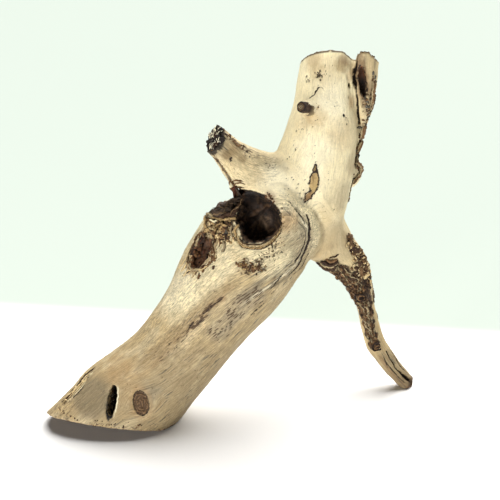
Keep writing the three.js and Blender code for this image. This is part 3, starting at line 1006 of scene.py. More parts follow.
def foot_underside(skin):
    """The sawn underside, painted dark as shade, the dirt along its edge, and the wood darkened where it
    comes within 1.6 mm of the floor.
    """
    sawn = unit([-0.13, -0.33, -1])
    below = (skin.points - [-105, 5, 0]) @ sawn
    cut = eased(skin.normals @ sawn, 0.75, 0.95) * (skin.points[:, 0] < -40) * eased(below, -3, -0.8)
    # Painted shade on the sawn underside.
    skin.tint(cut, BROWN * 0.5, 0.9)
    edge = eased(below, -5.5, -0.5) * (skin.points[:, 0] < -55) * (1 - cut)
    grime = eased(skin.grit(2.2, 41), 0.1, 0.5)
    skin.tint(edge * grime, UMBER, 0.85)
    skin.mark("speck", edge)
    # Darker where the wood comes within 1.6 mm of the floor.
    floor_contact = eased(skin.height, 1.6, 0.2)
    skin.tint(floor_contact, UMBER, 0.6)
    skin.clear(cut, "streak")


def limb_top(skin):
    """The limb's stained top, with rings in it and a dark rim."""
    top = unit([-0.03, 0.52, 1])
    above = (skin.points - [62, 48, 304]) @ top
    face = eased(skin.normals @ top, 0.8, 0.95) * eased(above, -3, -0.8)
    out = np.hypot(skin.grain[:, 0], skin.grain[:, 1]) + 1.2 * layered(skin.points / 8)
    skin.tint(face, BROWN + SAND * 0.2, 0.9)
    skin.tint(face * eased(np.sin(out * 2.6), 0.2, 1), UMBER, 0.45)
    skin.lift += face * 0.15 * np.sin(out * 2.6)
    rim = eased(above, -2.5, -1.5) * (1 - face) * eased(skin.waves(4, 1), -0.8, -0.2)
    skin.tint(rim, UMBER, 0.9)


def limb_pits(skin):
    """Insect pits over the limb, in clusters."""
    for at, spread, count, size, dark in (
        ([55.3, 46.7, 285], 3.6, 18, 1.0, 0.62),
        ([54.5, 47.2, 281], 3.6, 8, 0.8, 0.6),
        ([45.4, 51.1, 280.5], 3.4, 12, 0.85, 0.62),
        ([60, 46.2, 288], 5, 8, 0.55, 0.6),
        ([51, 49, 280], 5, 6, 0.5, 0.55),
        ([64, 41, 272], 9, 6, 0.45, 0.6),
        ([67.2, 38.8, 262], 3.5, 7, 0.6, 0.6),
        ([61, 37.5, 262], 6, 6, 0.5, 0.5),
        ([78, 42.5, 250], 5, 8, 0.6, 0.6),
        ([79.1, 49, 266.5], 4, 4, 0.6, 0.6),
        ([39.9, 39.9, 241.6], 5, 12, 0.7, 0.6),
        ([36.8, 36.2, 226.2], 5, 8, 0.6, 0.6),
        ([47, 36, 241], 6, 7, 0.5, 0.55),
        ([31, 35, 214], 6, 4, 0.6, 0.8),
        ([36, 30, 196], 12, 12, 0.5, 0.8),
        ([62, 28, 190], 14, 9, 0.45, 0.8),
        ([60, 26, 205], 12, 8, 0.45, 0.7),
        ([74.7, 40.5, 253.5], 0.1, 1, 1.4, 1.0),
        ([75.5, 41.5, 250], 1.5, 3, 0.7, 0.8),
    ):
        skin.pits(at, spread, count, size, dark=dark)


def limb_cracks(skin):
    for line, width, depth in (
        ([[43, 36, 267], [46.7, 41, 266.9], [50.6, 42, 269.1], [52.2, 43.4, 272.1], [53.8, 43.9, 274.3]],
         1.0, 1.0),
        ([[51.5, 43, 270.5], [53.8, 43.9, 274.3], [56.1, 43.6, 275.2], [57.7, 42.5, 273],
          [59.5, 41.5, 270.5]], 0.9, 0.8),
        ([[47, 41, 267], [49, 42.5, 271], [50.5, 43.2, 273.5]], 0.6, 0.6),
        ([[51.5, 33.6, 240], [51.6, 29.6, 223.5], [51.7, 26.1, 206]], 0.35, 0.5),
        ([[43, 31, 253], [49.8, 34.4, 250.2], [56, 34.8, 251.5]], 0.6, 0.5),
        ([[81, 50, 262], [83, 51, 250], [85, 51, 240]], 0.4, 0.5),
        ([[82.5, 43, 214], [79.5, 40.5, 203], [77.5, 37, 194]], 0.9, 0.9),
        ([[84.5, 47, 211], [82, 43, 200], [79.5, 41, 192]], 0.8, 0.8),
    ):
        skin.crack(line, width, depth, wobble=0.7, dark=0.9)


# The split between the upper limb and its slab, from the top down
SPLIT = (
    [85.6, 55.2, 306], [84.8, 55, 296], [84, 55.2, 288.6], [84.1, 55.1, 282.3], [84.9, 55.2, 274.4],
    [86.4, 55.4, 265.6], [87.3, 56.5, 253.2], [89.2, 56.2, 243.5],
)


def slab_split(skin):
    """The ragged gap between the limb and its slab, painted dark as shade, with a notch at the top, painted
    dark as well.
    """
    away, _, travel, length = skin.stroke(SPLIT, margin=9, wobble=0.25)
    wide = 0.8 + 1.3 * eased(np.abs(travel / length - 0.38), 0.2, 0.05)
    gap = eased(away, wide + 0.4, wide * 0.45)
    skin.lift -= gap * (1.4 + 2.4 * wide)
    # Painted shade in the gap.
    skin.mark("dark", gap)
    notch = eased(np.abs(skin.points[:, 0] - 85.6), 2.3, 1.0) * eased(skin.height, 297, 301)
    notch = notch * (skin.points[:, 0] > 78) * eased(skin.points[:, 1], 74, 64)
    skin.lift -= 1.2 * notch
    # Painted shade in the notch.
    skin.tint(notch, UMBER * 0.7, 0.9)


def slab_cavity(skin):
    """The grey, weathered slab, and the long hollow in its front."""
    cavity = skin.oval(*mouth(CAVITY), 14, wobble=0.9, grit=3)
    inside = eased(cavity, 0.4, -0.5)
    slab = skin.share[:, 3] * eased(skin.height, 200, 262)
    grey = skin.threads([0.3, 0.3, 0.06], 31)
    skin.tint(slab, SAND, 0.55)
    skin.tint(slab * eased(grey, -0.1, 0.5), DRAB * 0.7, 0.6)
    skin.tint(eased(cavity, 3.8, 0.5) * (1 - inside), BROWN * 0.8, 0.75)
    skin.lift -= 1.8 * eased(cavity, 0.3, -1.5)
    low = eased(skin.height, 282, 276)[:, None]
    fill = (RUST * 0.4 + BROWN * 0.3) * (1 - low) + NEAR_BLACK * low
    skin.cover(inside, fill)
    skin.mark("dark", 0.75 * eased(np.abs(cavity), 0.6, 0.15))
    skin.crack([[87.5, 56, 299], [88.5, 56, 291], [90.5, 55, 283]], 0.7, 0.9, wobble=0.5, dark=0.8)


# The bark flake's three parts: middles, half sizes and leans
FLAKE = (
    ([51.5, 27, 213], [1.3, 3.6], 0.25),
    ([50.9, 25.2, 202.5], [3.7, 9.0], 0.12),
    ([46.6, 23.6, 191.5], [2.3, 5.6], 0.6),
)


def bark_flake(skin):
    """A thin tan flake of inner bark with a dark edge, on the limb's front."""
    away = np.full(len(skin.points), FAR)
    for at, half, lean in FLAKE:
        away = np.minimum(away, skin.oval(at, [0, -0.98, 0.18], half, lean, 9, wobble=0.55, grit=2.8))
    inside = eased(away, 0.35, -0.35)
    skin.lift += 0.75 * inside
    skin.tint(inside, colour(178, 150, 96), 0.95)
    skin.mark("dark", 0.9 * eased(np.abs(away), 0.75, 0.25))
    skin.tint(inside * eased(layered(skin.grain * [0.9, 0.9, 0.1]), 0.1, 0.4), BROWN * 0.6, 0.75)
    skin.tint(eased(skin.height, 197, 190) * inside, BROWN, 0.8)


def stub(skin):
    """The broken stub: a black torn end and a dirty upper edge."""
    out = unit([-0.74, -0.48, 0.46])
    beyond = (skin.points - [-27.5, 23, 238]) @ out
    region = skin.share[:, 2] > 0.5
    ragged = 2.2 * skin.threads([0.5, 0.5, 0.12], 6)
    end = eased(beyond + ragged, -4.5, -2.5) * region
    skin.tint(end, NEAR_BLACK, 0.95)
    skin.lift += end * (0.9 * skin.grit(2.2, 19) - 0.3)
    char = eased(beyond + 2 * ragged, -13, -6) * region * (1 - end)
    skin.tint(char, UMBER, 0.3)
    skin.mark("streak", char)
    top = [[-20, 23, 243], [-12, 24, 236], [-4, 26.5, 229], [4, 28, 224.5], [12, 31, 220]]
    away, _, travel, length = skin.stroke(top, margin=10, wobble=1.2)
    grime = eased(away, 5.2, 1) * eased(skin.threads([0.7, 0.7, 0.2], 3), -0.15, 0.25)
    skin.tint(grime * eased(travel, length, length - 12), UMBER * 1.3, 0.85)
    under = [[-27, 22, 224], [-22, 23, 215], [-17, 25, 207], [-14.5, 29.5, 198]]
    away, _, _, _ = skin.stroke(under, margin=8, wobble=0.5)
    skin.tint(eased(away, 2.6, 1.0), UMBER, 0.85)
    for cluster in (
        ([-15.6, 18.1, 221.9], 2.5, 5, 0.9, 0.3),
        ([-1, 24, 226], 4, 7, 0.8, 0.4),
        ([10, 27, 219], 9, 16, 0.6, 0.5, 0.6),
        ([18, 30, 214], 6, 12, 0.6, 0.5, 0.6),
    ):
        skin.pits(*cluster)


# The balls that the leg's bark fills: middles and radii
BARK_PLACES = (
    ([68, 44, 127], 7.5),
    ([75, 46, 119], 10),
    ([84, 50, 109], 11.5),
    ([92, 52, 118], 8),
    ([98, 53, 111], 7),
    ([93, 56, 97], 11),
    ([98, 57, 86], 9),
    ([102, 58, 76], 7),
    ([104.5, 58.5, 66], 6.3),
    ([107, 58.5, 56], 6),
    ([109.5, 57.5, 47], 5.6),
    ([103, 74, 92], 13),
    ([95, 76, 106], 12),
    ([110, 76, 70], 8),
)


def leg_bark(skin):
    """Rough brown bark down the leg root, in plates and cracks, thinning to a strip."""
    bark = np.full(len(skin.points), FAR)
    for at, radius in BARK_PLACES:
        bark = np.minimum(bark, skin.ball(at, radius, wobble=1.6, grit=4.5))
    for at, radius in (([79.5, 41, 138], 9.5), ([86, 44, 131], 6)):
        bark = np.maximum(bark, -skin.ball(at, radius, wobble=0.8, grit=4))
    on = eased(bark, 0.5, -0.5) * (skin.points[:, 0] > 55)
    spot = np.flatnonzero(on > 0.01)
    place = skin.grain[spot] * [0.62, 0.62, 0.2]
    place = place + 0.35 * columns(*(noise(place * 1.7 + 9 * k) for k in range(3)))
    first, second, number = cells(place)
    gap = second - first
    plate = eased(gap, 0.05, 0.32)
    tall = (number % 7) / 7
    coarse = layered(skin.points[spot] / 3.0 + 15, 3)
    skin.lift[spot] += on[spot] * (0.45 + plate * (0.4 + 0.4 * tall) + 0.6 * coarse)
    shade = eased(plate * (0.4 + 0.4 * tall) + 0.6 * coarse, 0.1, 0.85)[:, None]
    brown = UMBER * 0.35 * (1 - shade) + BARK * 0.95 * shade
    pale = eased(tall + 0.6 * coarse, 0.8, 1.1)[:, None] * plate[:, None]
    brown = brown * (1 - 0.35 * pale) + DRAB * 0.35 * pale
    skin.paint[spot] = skin.paint[spot] * (1 - on[spot, None]) + brown * on[spot, None]
    skin.clear(on, "streak", "speck")
    edge = eased(np.abs(bark), 0.9, 0.2) * (skin.points[:, 0] > 55)
    skin.mark("dark", 0.6 * edge)

    for at, facing, radius in (
        ([96.1, 49.8, 96.2], [-0.25, -0.95, 0.1], 4.2),
        ([111.5, 57.6, 45.2], [0, -0.98, -0.1], 3.2),
    ):
        knot = skin.oval(at, facing, [radius, radius * 0.95], 0.2, 7, 0.3, 3)
        inside = eased(knot, 0.4, -0.4)
        rings = np.sin(knot * 3.6)
        skin.lift += inside * (1.6 + 0.35 * rings) - 0.8 * eased(np.abs(knot + radius), 1.4, 0.3)
        skin.tint(inside, UMBER * 0.5, 0.95)
        skin.tint(inside * eased(rings, 0.6, 0.98), BARK * 1.3, 0.6)


# The cleft that parts the toe into two prongs
CLEFT = (
    [121.5, 63.5, 40], [125.5, 63.8, 31], [131.5, 64, 22], [138.5, 65.2, 13.5], [145.5, 67.5, 6.5],
    [151, 68.5, 1],
)


def leg_wood(skin):
    """The bare lower leg: worn tan wood, split at its toe."""
    for line, width, depth in (
        ([[117.6, 60.6, 35.8], [123, 62, 26], [128.5, 62.7, 19.1], [135, 63, 11.5], [141.7, 63.4, 5.4]],
         0.9, 1.4),
        ([[126, 67, 36], [133, 67.6, 26], [140.5, 67.5, 16.5], [148, 69, 8]], 0.7, 1.2),
        ([[110, 60, 73], [116, 64, 58], [123, 69, 43.4], [135.5, 67.9, 22.6], [147, 69.5, 8.5]], 0.9, 0.9),
        ([[101.5, 61, 62], [104, 62, 50], [108, 62.5, 38]], 0.4, 0.5),
        ([[117, 60.5, 40], [121, 61.5, 28], [127, 63, 16]], 0.4, 0.5),
    ):
        skin.crack(line, width, depth, wobble=0.5, dark=0.85)
    away, _, travel, length = skin.stroke(CLEFT, margin=8, wobble=0.4)
    wide = 0.7 + 1.7 * eased(travel / length, 0.35, 0.95) + 0.9 * eased(travel / length, 0.75, 1.0)
    cleft = eased(away, wide + 0.4, wide * 0.5) * eased(travel, 0, 3)
    skin.lift -= cleft * (0.8 + 2.1 * wide)
    skin.mark("dark", cleft)
    ridge, _, _, _ = skin.stroke([[121, 63, 37], [129, 65.5, 27], [139, 69.5, 16]], margin=5, wobble=0.3)
    skin.tint(eased(ridge, 1.6, 0.4), CREAM, 0.5)
    low = eased(skin.height, 46, 30) * (skin.points[:, 0] > 80)
    skin.tint(low, DRAB * 0.92, 0.75)
    skin.tint(low * eased(skin.height, 24, 8), BARK * 0.9, 0.35)
    toe = skin.ball([149, 69, 2], 9, wobble=1.5)
    skin.tint(eased(toe, 2, -2), UMBER, 0.85)
    skin.mark("streak", 0.8 * low)
    skin.tint(low * eased(noise(skin.grain * [0.3, 0.3, 0.03] + 2), 0, 0.5), BROWN, 0.45)


def rough_patch(skin):
    """Scraps of brown inner bark and a field of specks under the knot hole."""
    away = skin.oval([1.5, -3, 141.5], [0.1, -0.98, 0.15], [11, 5.8], -0.12, 9, wobble=3.4, grit=3.4)
    inside = eased(away, 0.3, -0.5)
    shreds = skin.grit(1.9, 12, 3)
    skin.lift += inside * (0.35 + 0.5 * shreds)
    skin.tint(inside * eased(shreds, -0.25, 0.0), UMBER * 0.9, 0.95)
    skin.tint(inside * eased(shreds, 0.4, 0.6), STRAW * 0.5, 0.7)
    skin.mark("dark", 0.7 * inside * eased(np.abs(shreds + 0.3), 0.16, 0.03))
    for cluster in (
        ([18, 1, 151], 8, 30, 0.8, 0.6, 0.66),
        ([12, -1, 146], 5, 10, 0.7, 0.6, 0.62),
        ([21, 3, 158], 7, 16, 0.7, 0.6, 0.6),
        ([25, 6, 166], 6, 12, 0.6, 0.5, 0.6),
        ([28, 14, 186], 7, 14, 0.6, 0.5, 0.6),
        ([8, 23, 205], 9, 16, 0.5, 0.5, 0.5),
    ):
        skin.pits(*cluster)
    skin.crack([[30.4, 17.5, 190.5], [30.9, 15.6, 187.5], [31.6, 14, 184]], 0.9, 0.8, wobble=0.2)


def trunk_cracks(skin):
    """Cracks and dark streaks along the trunk's grain, front and back."""
    for line, width, depth in (
        ([[-54, -10, 92], [-61.6, -11.4, 81], [-72, -13, 71]], 0.8, 0.7),
        ([[-46, -11, 90], [-56, -12.5, 79], [-64, -14, 71]], 0.5, 0.5),
        ([[-3, -5, 108], [-14, -8, 97], [-28, -10, 84]], 0.5, 0.5),
        ([[10, 0, 108], [-2, -4, 95], [-16, -8, 82]], 0.5, 0.6),
        ([[-66, -15, 62], [-72, -18, 50], [-75, -20, 38]], 0.4, 0.4),
        ([[14, 0, 132], [6, -3, 124], [-6, -6, 113]], 0.5, 0.6),
        ([[-30, 62, 128], [-48, 55, 104], [-70, 48, 74]], 0.9, 1.0),
        ([[-10, 72, 130], [-30, 65, 105], [-50, 58, 82]], 0.6, 0.7),
        ([[-72, 45, 62], [-92, 42, 38], [-108, 38, 18]], 0.8, 0.9),
        ([[30, 82, 160], [10, 78, 140], [-8, 72, 118]], 0.6, 0.7),
        ([[62, 84, 262], [58, 84, 235], [54, 82, 205]], 0.6, 0.7),
        ([[48, 80, 280], [46, 80, 255], [44, 78, 232]], 0.4, 0.5),
        ([[-4, 76, 150], [-22, 70, 128], [-38, 64, 108]], 0.7, 0.9),
        ([[20, 84, 178], [4, 80, 160], [-10, 76, 142]], 0.8, 1.0),
        ([[-58, 54, 78], [-76, 50, 56], [-92, 44, 34]], 0.7, 0.8),
        ([[-84, 40, 60], [-100, 36, 40], [-116, 30, 22]], 0.6, 0.7),
        ([[70, 84, 275], [68, 86, 250], [64, 84, 222]], 0.7, 0.8),
        ([[76, 82, 200], [74, 80, 176], [80, 78, 150]], 0.7, 0.8),
        ([[88, 76, 128], [96, 76, 110], [104, 76, 88]], 0.6, 0.7),
    ):
        skin.crack(line, width * 1.2, depth, wobble=0.9, grit=6, dark=0.78)
    scar = skin.oval([-46, 62, 92], [-0.1, 1, 0.1], [8, 21], -0.6, 12, wobble=1.2, grit=4)
    inside = eased(scar, 0.5, -1.0)
    rows = skin.threads([0.6, 0.6, 0.07], 71)
    skin.tint(inside, BROWN * 0.5, 0.9)
    skin.tint(inside * eased(rows, 0.05, 0.35), STRAW * 0.8, 0.7)
    skin.lift += inside * 0.6 * rows
    skin.tint(eased(np.abs(scar - 1.4), 1.4, 0.4), STRAW, 0.7)
    skin.mark("dark", 0.75 * eased(np.abs(scar), 0.9, 0.2))
    for at, spread, count, size in (
        ([-10, 74, 135], 12, 22, 0.7),
        ([-62, 56, 70], 14, 20, 0.7),
        ([56, 84, 240], 14, 16, 0.6),
        ([30, 82, 190], 12, 18, 0.7),
    ):
        skin.pits(at, spread, count, size, dark=0.66)


def fold_shade_and_highlight(skin, edges):
    """Painted shade darkens the hollows of the carved surface and a painted highlight lightens its ridges.
    """
    bent = relaxed(skin.points, edges, 1, share=1.0) - skin.points
    fold = (bent * skin.normals).sum(1)[:, None]
    fold = relaxed(fold, edges, 3, back=0.5)[:, 0]
    skin.tint(eased(fold, 0.012, 0.12), UMBER, 0.55)
    skin.paint *= (1 + 0.14 * eased(-fold, 0.01, 0.1))[:, None]


# Looks: the nodes that turn what is painted on the skin into wood
class Looks:
    """A new material, with short calls that make its nodes and link them."""

    def __init__(self, name):
        self.material = bpy.data.materials.new(name)
        self.material.use_nodes = True
        self.tree = self.material.node_tree
        self.shader = self.tree.nodes["Principled BSDF"]

    def node(self, kind, inputs, **settings):
        made = self.tree.nodes.new("ShaderNode" + kind)
        for name, value in settings.items():
            setattr(made, name, value)
        for socket, value in inputs.items():
            if isinstance(value, bpy.types.NodeSocket):
                self.tree.links.new(value, made.inputs[socket])
            else:
                made.inputs[socket].default_value = value
        return made

    def place(self):
        return self.node("TexCoord", {}).outputs["Object"]

    def painted(self, name, output="Fac"):
        return self.node("Attribute", {}, attribute_name=name).outputs[output]

    def stretched(self, place, scale):
        return self.node("VectorMath", {0: place, 1: scale}, operation="MULTIPLY").outputs[0]

    def grained(self, place, scale, detail=3.0, rough=0.55, warp=0.0):
        vector = self.stretched(place, scale)
        shape = {"Scale": 1.0, "Detail": detail, "Roughness": rough, "Distortion": warp}
        return self.node("TexNoise", {"Vector": vector, **shape}).outputs[0]

    def dashes(self, place, scale, reach):
        """1 within a reach of seeds flung over a stretched place, and 0 between them."""
        inputs = {"Vector": self.stretched(place, scale), "Scale": 1.0}
        flung = self.node("TexVoronoi", inputs).outputs["Distance"]
        return self.ramped(self.less(reach, flung), 0.0, 0.1)

    def ramped(self, value, low, high, to_low=0.0, to_high=1.0):
        inputs = {0: value, 1: low, 2: high, 3: to_low, 4: to_high}
        return self.node("MapRange", inputs, interpolation_type="SMOOTHSTEP").outputs[0]

    def maths(self, work, one, other):
        return self.node("Math", {0: one, 1: other}, operation=work).outputs[0]

    def times(self, *values):
        total = values[0]
        for value in values[1:]:
            total = self.maths("MULTIPLY", total, value)
        return total

    def plus(self, one, other):
        return self.maths("ADD", one, other)

    def less(self, one, other):
        return self.maths("SUBTRACT", one, other)

    def blended(self, share, one, other, blend="MIX"):
        made = self.node("Mix", {0: share}, data_type="RGBA", blend_type=blend)
        for socket, value in ((6, one), (7, other)):
            if isinstance(value, bpy.types.NodeSocket):
                self.tree.links.new(value, made.inputs[socket])
            else:
                made.inputs[socket].default_value = (*value, 1)
        return made.outputs[2]

    def give(self, **values):
        """Sets the shader's own sockets, named with _ for each space."""
        for name, value in values.items():
            socket = self.shader.inputs[name.replace("_", " ")]
            if isinstance(value, bpy.types.NodeSocket):
                self.tree.links.new(value, socket)
            else:
                socket.default_value = value


def wood_material(name, contrast, fibre, roughness, bump):
    """Bare wood: the painted colour, with fibres, flecks, furrows, dirt, dark marks that also carry painted
    shade, and a fine relief.
    """
    wood = Looks(name)
    millimetres = wood.stretched(wood.place(), (1000, 1000, 1000))
    grain = wood.painted("grain", "Vector")
    lines = wood.painted("lines", "Vector")
    streak, speck, dark, dashed = (wood.painted(mark) for mark in ("streak", "speck", "dark", "dashed"))

    calm = wood.ramped(wood.painted("calm"), 0.0, 1.0, 1.0, 0.25)
    coarse = wood.times(calm, wood.less(1.0, wood.painted("bleached")))
    bands = wood.grained(grain, (0.2, 0.2, 0.03), 4)
    fibres = wood.grained(grain, (1.0, 1.0, 0.1), 3, 0.6, 0.4)
    hairs = wood.grained(grain, (2.6, 2.6, 0.3), 2, 0.5)
    threads = wood.grained(grain, (0.85, 0.85, 0.05), 3, 0.6, 0.3)
    crumbs = wood.grained(millimetres, (0.9, 0.9, 0.9), 3, 0.6)

    tone = wood.times(
        wood.ramped(bands, 0.25, 0.75, 1 - contrast, 1 + contrast * 0.8),
        wood.ramped(fibres, 0.3, 0.7, 1 - fibre, 1 + fibre * 0.6),
        wood.ramped(hairs, 0.25, 0.75, 1 - fibre * 0.6, 1 + fibre * 0.35),
    )
    tone = wood.times(wood.less(tone, 1.0), coarse)
    tone = wood.times(wood.plus(tone, 1.0), wood.ramped(crumbs, 0.3, 0.7, 0.93, 1.05))
    shade = wood.node("CombineColor", {0: tone, 1: tone, 2: tone}).outputs[0]
    face = wood.blended(1.0, wood.painted("paint", "Color"), shade, "MULTIPLY")

    thin = wood.times(wood.ramped(threads, 0.43, 0.36), calm)
    patches = wood.ramped(wood.grained(grain, (0.12, 0.12, 0.02), 2), 0.4, 0.58)
    face = wood.blended(wood.times(thin, patches, streak), face, GREY * 0.6)
    dashes = wood.dashes(grain, (0.8, 0.8, 0.17), wood.times(dashed, 0.62))
    face = wood.blended(wood.times(dashes, 0.85), face, UMBER * 1.15)
    reddish = wood.ramped(wood.grained(grain, (1.3, 1.3, 0.05), 2, 0.5), 0.64, 0.74)
    face = wood.blended(wood.times(reddish, streak, 0.5), face, BROWN)
    flecks = wood.ramped(wood.grained(millimetres, (0.75, 0.75, 0.4), 2, 0.4), 0.69, 0.75)
    face = wood.blended(wood.times(flecks, speck), face, UMBER)

    furrows = wood.ramped(wood.grained(lines, (0.5, 0.024, 0), 2, 0.5, 0.3), 0.47, 0.41)
    swept = wood.node("SeparateXYZ", {0: lines}).outputs[2]
    furrows = wood.times(furrows, swept)
    face = wood.blended(wood.times(furrows, 0.8), face, GREY * 0.42)
    dashes = wood.dashes(lines, (0.75, 0.16, 0), wood.times(swept, 0.36))
    face = wood.blended(wood.times(dashes, 0.8), face, UMBER)

    # The dark mark blackens cracks, pits and outlines, and carries painted shade in the gap between limb and
    # slab.
    ragged = wood.plus(dark, wood.ramped(crumbs, 0.3, 0.7, -0.22, 0.22))
    face = wood.blended(wood.ramped(ragged, 0.28, 0.75), face, NEAR_BLACK * 0.9 + UMBER * 0.25)
    sheen = wood.ramped(fibres, 0.3, 0.7, roughness + 0.1, roughness - 0.08)

    relief = wood.plus(wood.times(fibres, 0.7), wood.times(hairs, 0.3))
    relief = wood.plus(wood.times(relief, coarse), wood.times(crumbs, 0.25))
    relief = wood.less(relief, wood.times(furrows, 0.6))
    bumps = wood.node("Bump", {"Height": relief, "Distance": 0.0006, "Strength": bump}).outputs[0]
    wood.give(Base_Color=face, Roughness=sheen, Specular_IOR_Level=0.32, Normal=bumps)
    return wood.material


def trunk_wood():
    return wood_material("trunk_wood", contrast=0.14, fibre=0.38, roughness=0.68, bump=0.9)


def limb_wood():
    return wood_material("limb_wood", contrast=0.14, fibre=0.38, roughness=0.64, bump=0.9)


def stub_wood():
    return wood_material("stub_wood", contrast=0.14, fibre=0.38, roughness=0.7, bump=0.9)


def leg_wood_and_bark():
    return wood_material("leg_wood", contrast=0.14, fibre=0.38, roughness=0.74, bump=0.9)


WOODS = {
    "trunk": trunk_wood,
    "upper_limb": limb_wood,
    "broken_stub": stub_wood,
    "leg_root": leg_wood_and_bark,
}


# Joining, carving and parting the wood. The facets and the finer faces are evened out this many times
FACET_ROUNDS = 8
FINE_ROUNDS = 6
# The fine faces start this far before a limb's joint
FINE_START = -3
# A joint is cut through the faces within this many metres of it
CUT_REACH = 0.006
SAME_POINT = 1e-6


def whole_only(mesh):
    """Keeps the largest closed skin of a mesh, without bubbles that lie inside it."""
    edges = edges_of(mesh)
    label = np.arange(len(mesh.vertices))
    while True:
        low = np.minimum(label[edges[:, 0]], label[edges[:, 1]])
        after = label.copy()
        np.minimum.at(after, edges[:, 0], low)
        np.minimum.at(after, edges[:, 1], low)
        after = after[after]
        if (after == label).all():
            break
        label = after
    most = np.bincount(label).argmax()
    if (label == most).all():
        return mesh
    work = bmesh.new()
    work.from_mesh(mesh)
    work.verts.ensure_lookup_table()
    bmesh.ops.delete(work, geom=[work.verts[i] for i in np.flatnonzero(label != most)], context="VERTS")
    work.to_mesh(mesh)
    work.free()
    return mesh


# Where the trunk is meshed twice as finely: middles and radii
FINE_PLACES = (
    (HOLE["at"], 30),
    (POCKET["at"], 21),
    ([7, -3, 146], 16),
    ([38, 12, 162], 18),
    ([40, 11, 140], 13),
    (FOOT_KNOT["at"], 12),
    (SLIT["at"], 17),
    ([-143, -6, 36], 19),
)


def joined_wood():
    """The frame's solids as one even skin, finer on the limbs and where the trunk has detail."""
    soup = np.concatenate([rounded(frame_corners(piece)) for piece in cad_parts.values()])
    mesh = whole_only(remeshed("wood", soup, VOXEL))
    move_points(mesh, relaxed(points_of(mesh), edges_of(mesh), FACET_ROUNDS))
    points = points_of(mesh)
    wanted = np.zeros(len(points), bool)
    for joint in JOINTS.values():
        wanted |= beyond(points, joint, FINE_START)
    for at, radius in FINE_PLACES:
        wanted |= np.linalg.norm(points - at, axis=1) < radius
    refined(mesh, wanted)
    points = points_of(mesh)
    soft = np.zeros(len(points), bool)
    soft[len(wanted) :] = True
    soft[: len(wanted)] = wanted
    move_points(mesh, relaxed(points, edges_of(mesh), FINE_ROUNDS, where=soft))
    return mesh


def beyond(points, joint, margin=0.0):
    """Which points lie past a joint, on the limb's side."""
    away = unit(joint["away"])
    rest = points - np.array(joint["at"], float)
    ahead = rest @ away
    flat = np.linalg.norm(rest - ahead[:, None] * away, axis=1)
    return (ahead > margin) & (flat < joint["width"])


def worn_top(points):
    """The limb's top falls away to its right corner, and its slab's right corner is rounded."""
    across, _, height = points.T
    limb = 5.2 * eased(across, 72, 84.5) * (across < 85.6) * eased(height, 284, 303)
    slab = 6.0 * eased(across, 92.5, 103) * eased(height, 284, 303)
    points[:, 2] -= limb + slab
    return points


def carved(mesh):
    """Carves and paints the skin, and keeps on it what its looks need."""
    skin = Skin(points_of(mesh), normals_of(mesh))
    for work in (
        shape_of_grain,
        tone_and_grain,
        weathering,
        grain_bands,
        valley,
        knot_hole,
        pocket,
        foot_facet,
        foot_tip,
        foot_slit,
        foot_knot,
        foot_underside,
        limb_top,
        limb_pits,
        limb_cracks,
        slab_split,
        slab_cavity,
        bark_flake,
        stub,
        leg_bark,
        leg_wood,
        rough_patch,
        trunk_cracks,
    ):
        work(skin)
    edges = edges_of(mesh)
    lift = relaxed(skin.lift[:, None], edges, 1, share=0.35)
    skin.points = worn_top(skin.points + lift * skin.normals)
    skin.points[:, 2] = np.maximum(skin.height, 0)
    move_points(mesh, skin.points)
    skin.normals = normals_of(mesh)
    fold_shade_and_highlight(skin, edges)
    keep_marks(mesh, skin)
    return mesh


LAYER_SLOTS = {"FLOAT": "value", "FLOAT_VECTOR": "vector", "FLOAT_COLOR": "color"}
# No wood is blacker than this
DARKEST = 0.004


def keep(mesh, name, values, kind="FLOAT_VECTOR"):
    layer = mesh.attributes.new(name, kind, "POINT")
    layer.data.foreach_set(LAYER_SLOTS[kind], values.astype(np.float32).ravel())


def keep_paint(mesh, paint):
    ones = np.ones((len(paint), 1))
    keep(mesh, "paint", np.hstack([np.clip(paint, DARKEST, 1), ones]), "FLOAT_COLOR")


def keep_marks(mesh, skin):
    keep_paint(mesh, skin.paint)
    keep(mesh, "grain", skin.grain)
    keep(mesh, "lines", skin.lines)
    keep(mesh, "smooth", skin.normals)
    for name, values in skin.marks.items():
        keep(mesh, name, np.clip(values, 0, 1), "FLOAT")


def joint_plane(joint):
    at = Vector(((np.array(joint["at"], float) + ROOT_ORIGIN) * MM).tolist())
    return at, Vector(unit(joint["away"]).tolist()), joint["width"] * MM


def cut_at(work, joint):
    """A straight cut round the skin where a limb leaves."""
    at, away, width = joint_plane(joint)

    def close(point):
        rest = point - at
        ahead = rest.dot(away)
        return abs(ahead) < CUT_REACH and (rest - ahead * away).length < width

    faces = [face for face in work.faces if close(face.calc_center_median())]
    edges = {edge for face in faces for edge in face.edges}
    verts = {vert for face in faces for vert in face.verts}
    parts = [*verts, *edges, *faces]
    bmesh.ops.bisect_plane(work, geom=parts, dist=SAME_POINT, plane_co=at, plane_no=away)


def limbs_of(points):
    """Which limb each point belongs to, or the trunk."""
    owners = np.full(len(points), "trunk", dtype=object)
    for name, joint in reversed(JOINTS.items()):
        owners[beyond(points, joint)] = name
    return owners


def piece_from(work, name, owners):
    """One limb's closed piece, with its cut ends filled."""
    piece = work.copy()
    drop = [face for face, owner in zip(piece.faces, owners) if owner != name]
    bmesh.ops.delete(piece, geom=drop, context="FACES")
    rim = [edge for edge in piece.edges if edge.is_boundary]
    caps = bmesh.ops.holes_fill(piece, edges=rim, sides=0)["faces"]
    bmesh.ops.triangulate(piece, faces=caps)
    mesh = bpy.data.meshes.new(name + "_wood")
    piece.to_mesh(mesh)
    piece.free()
    return mesh


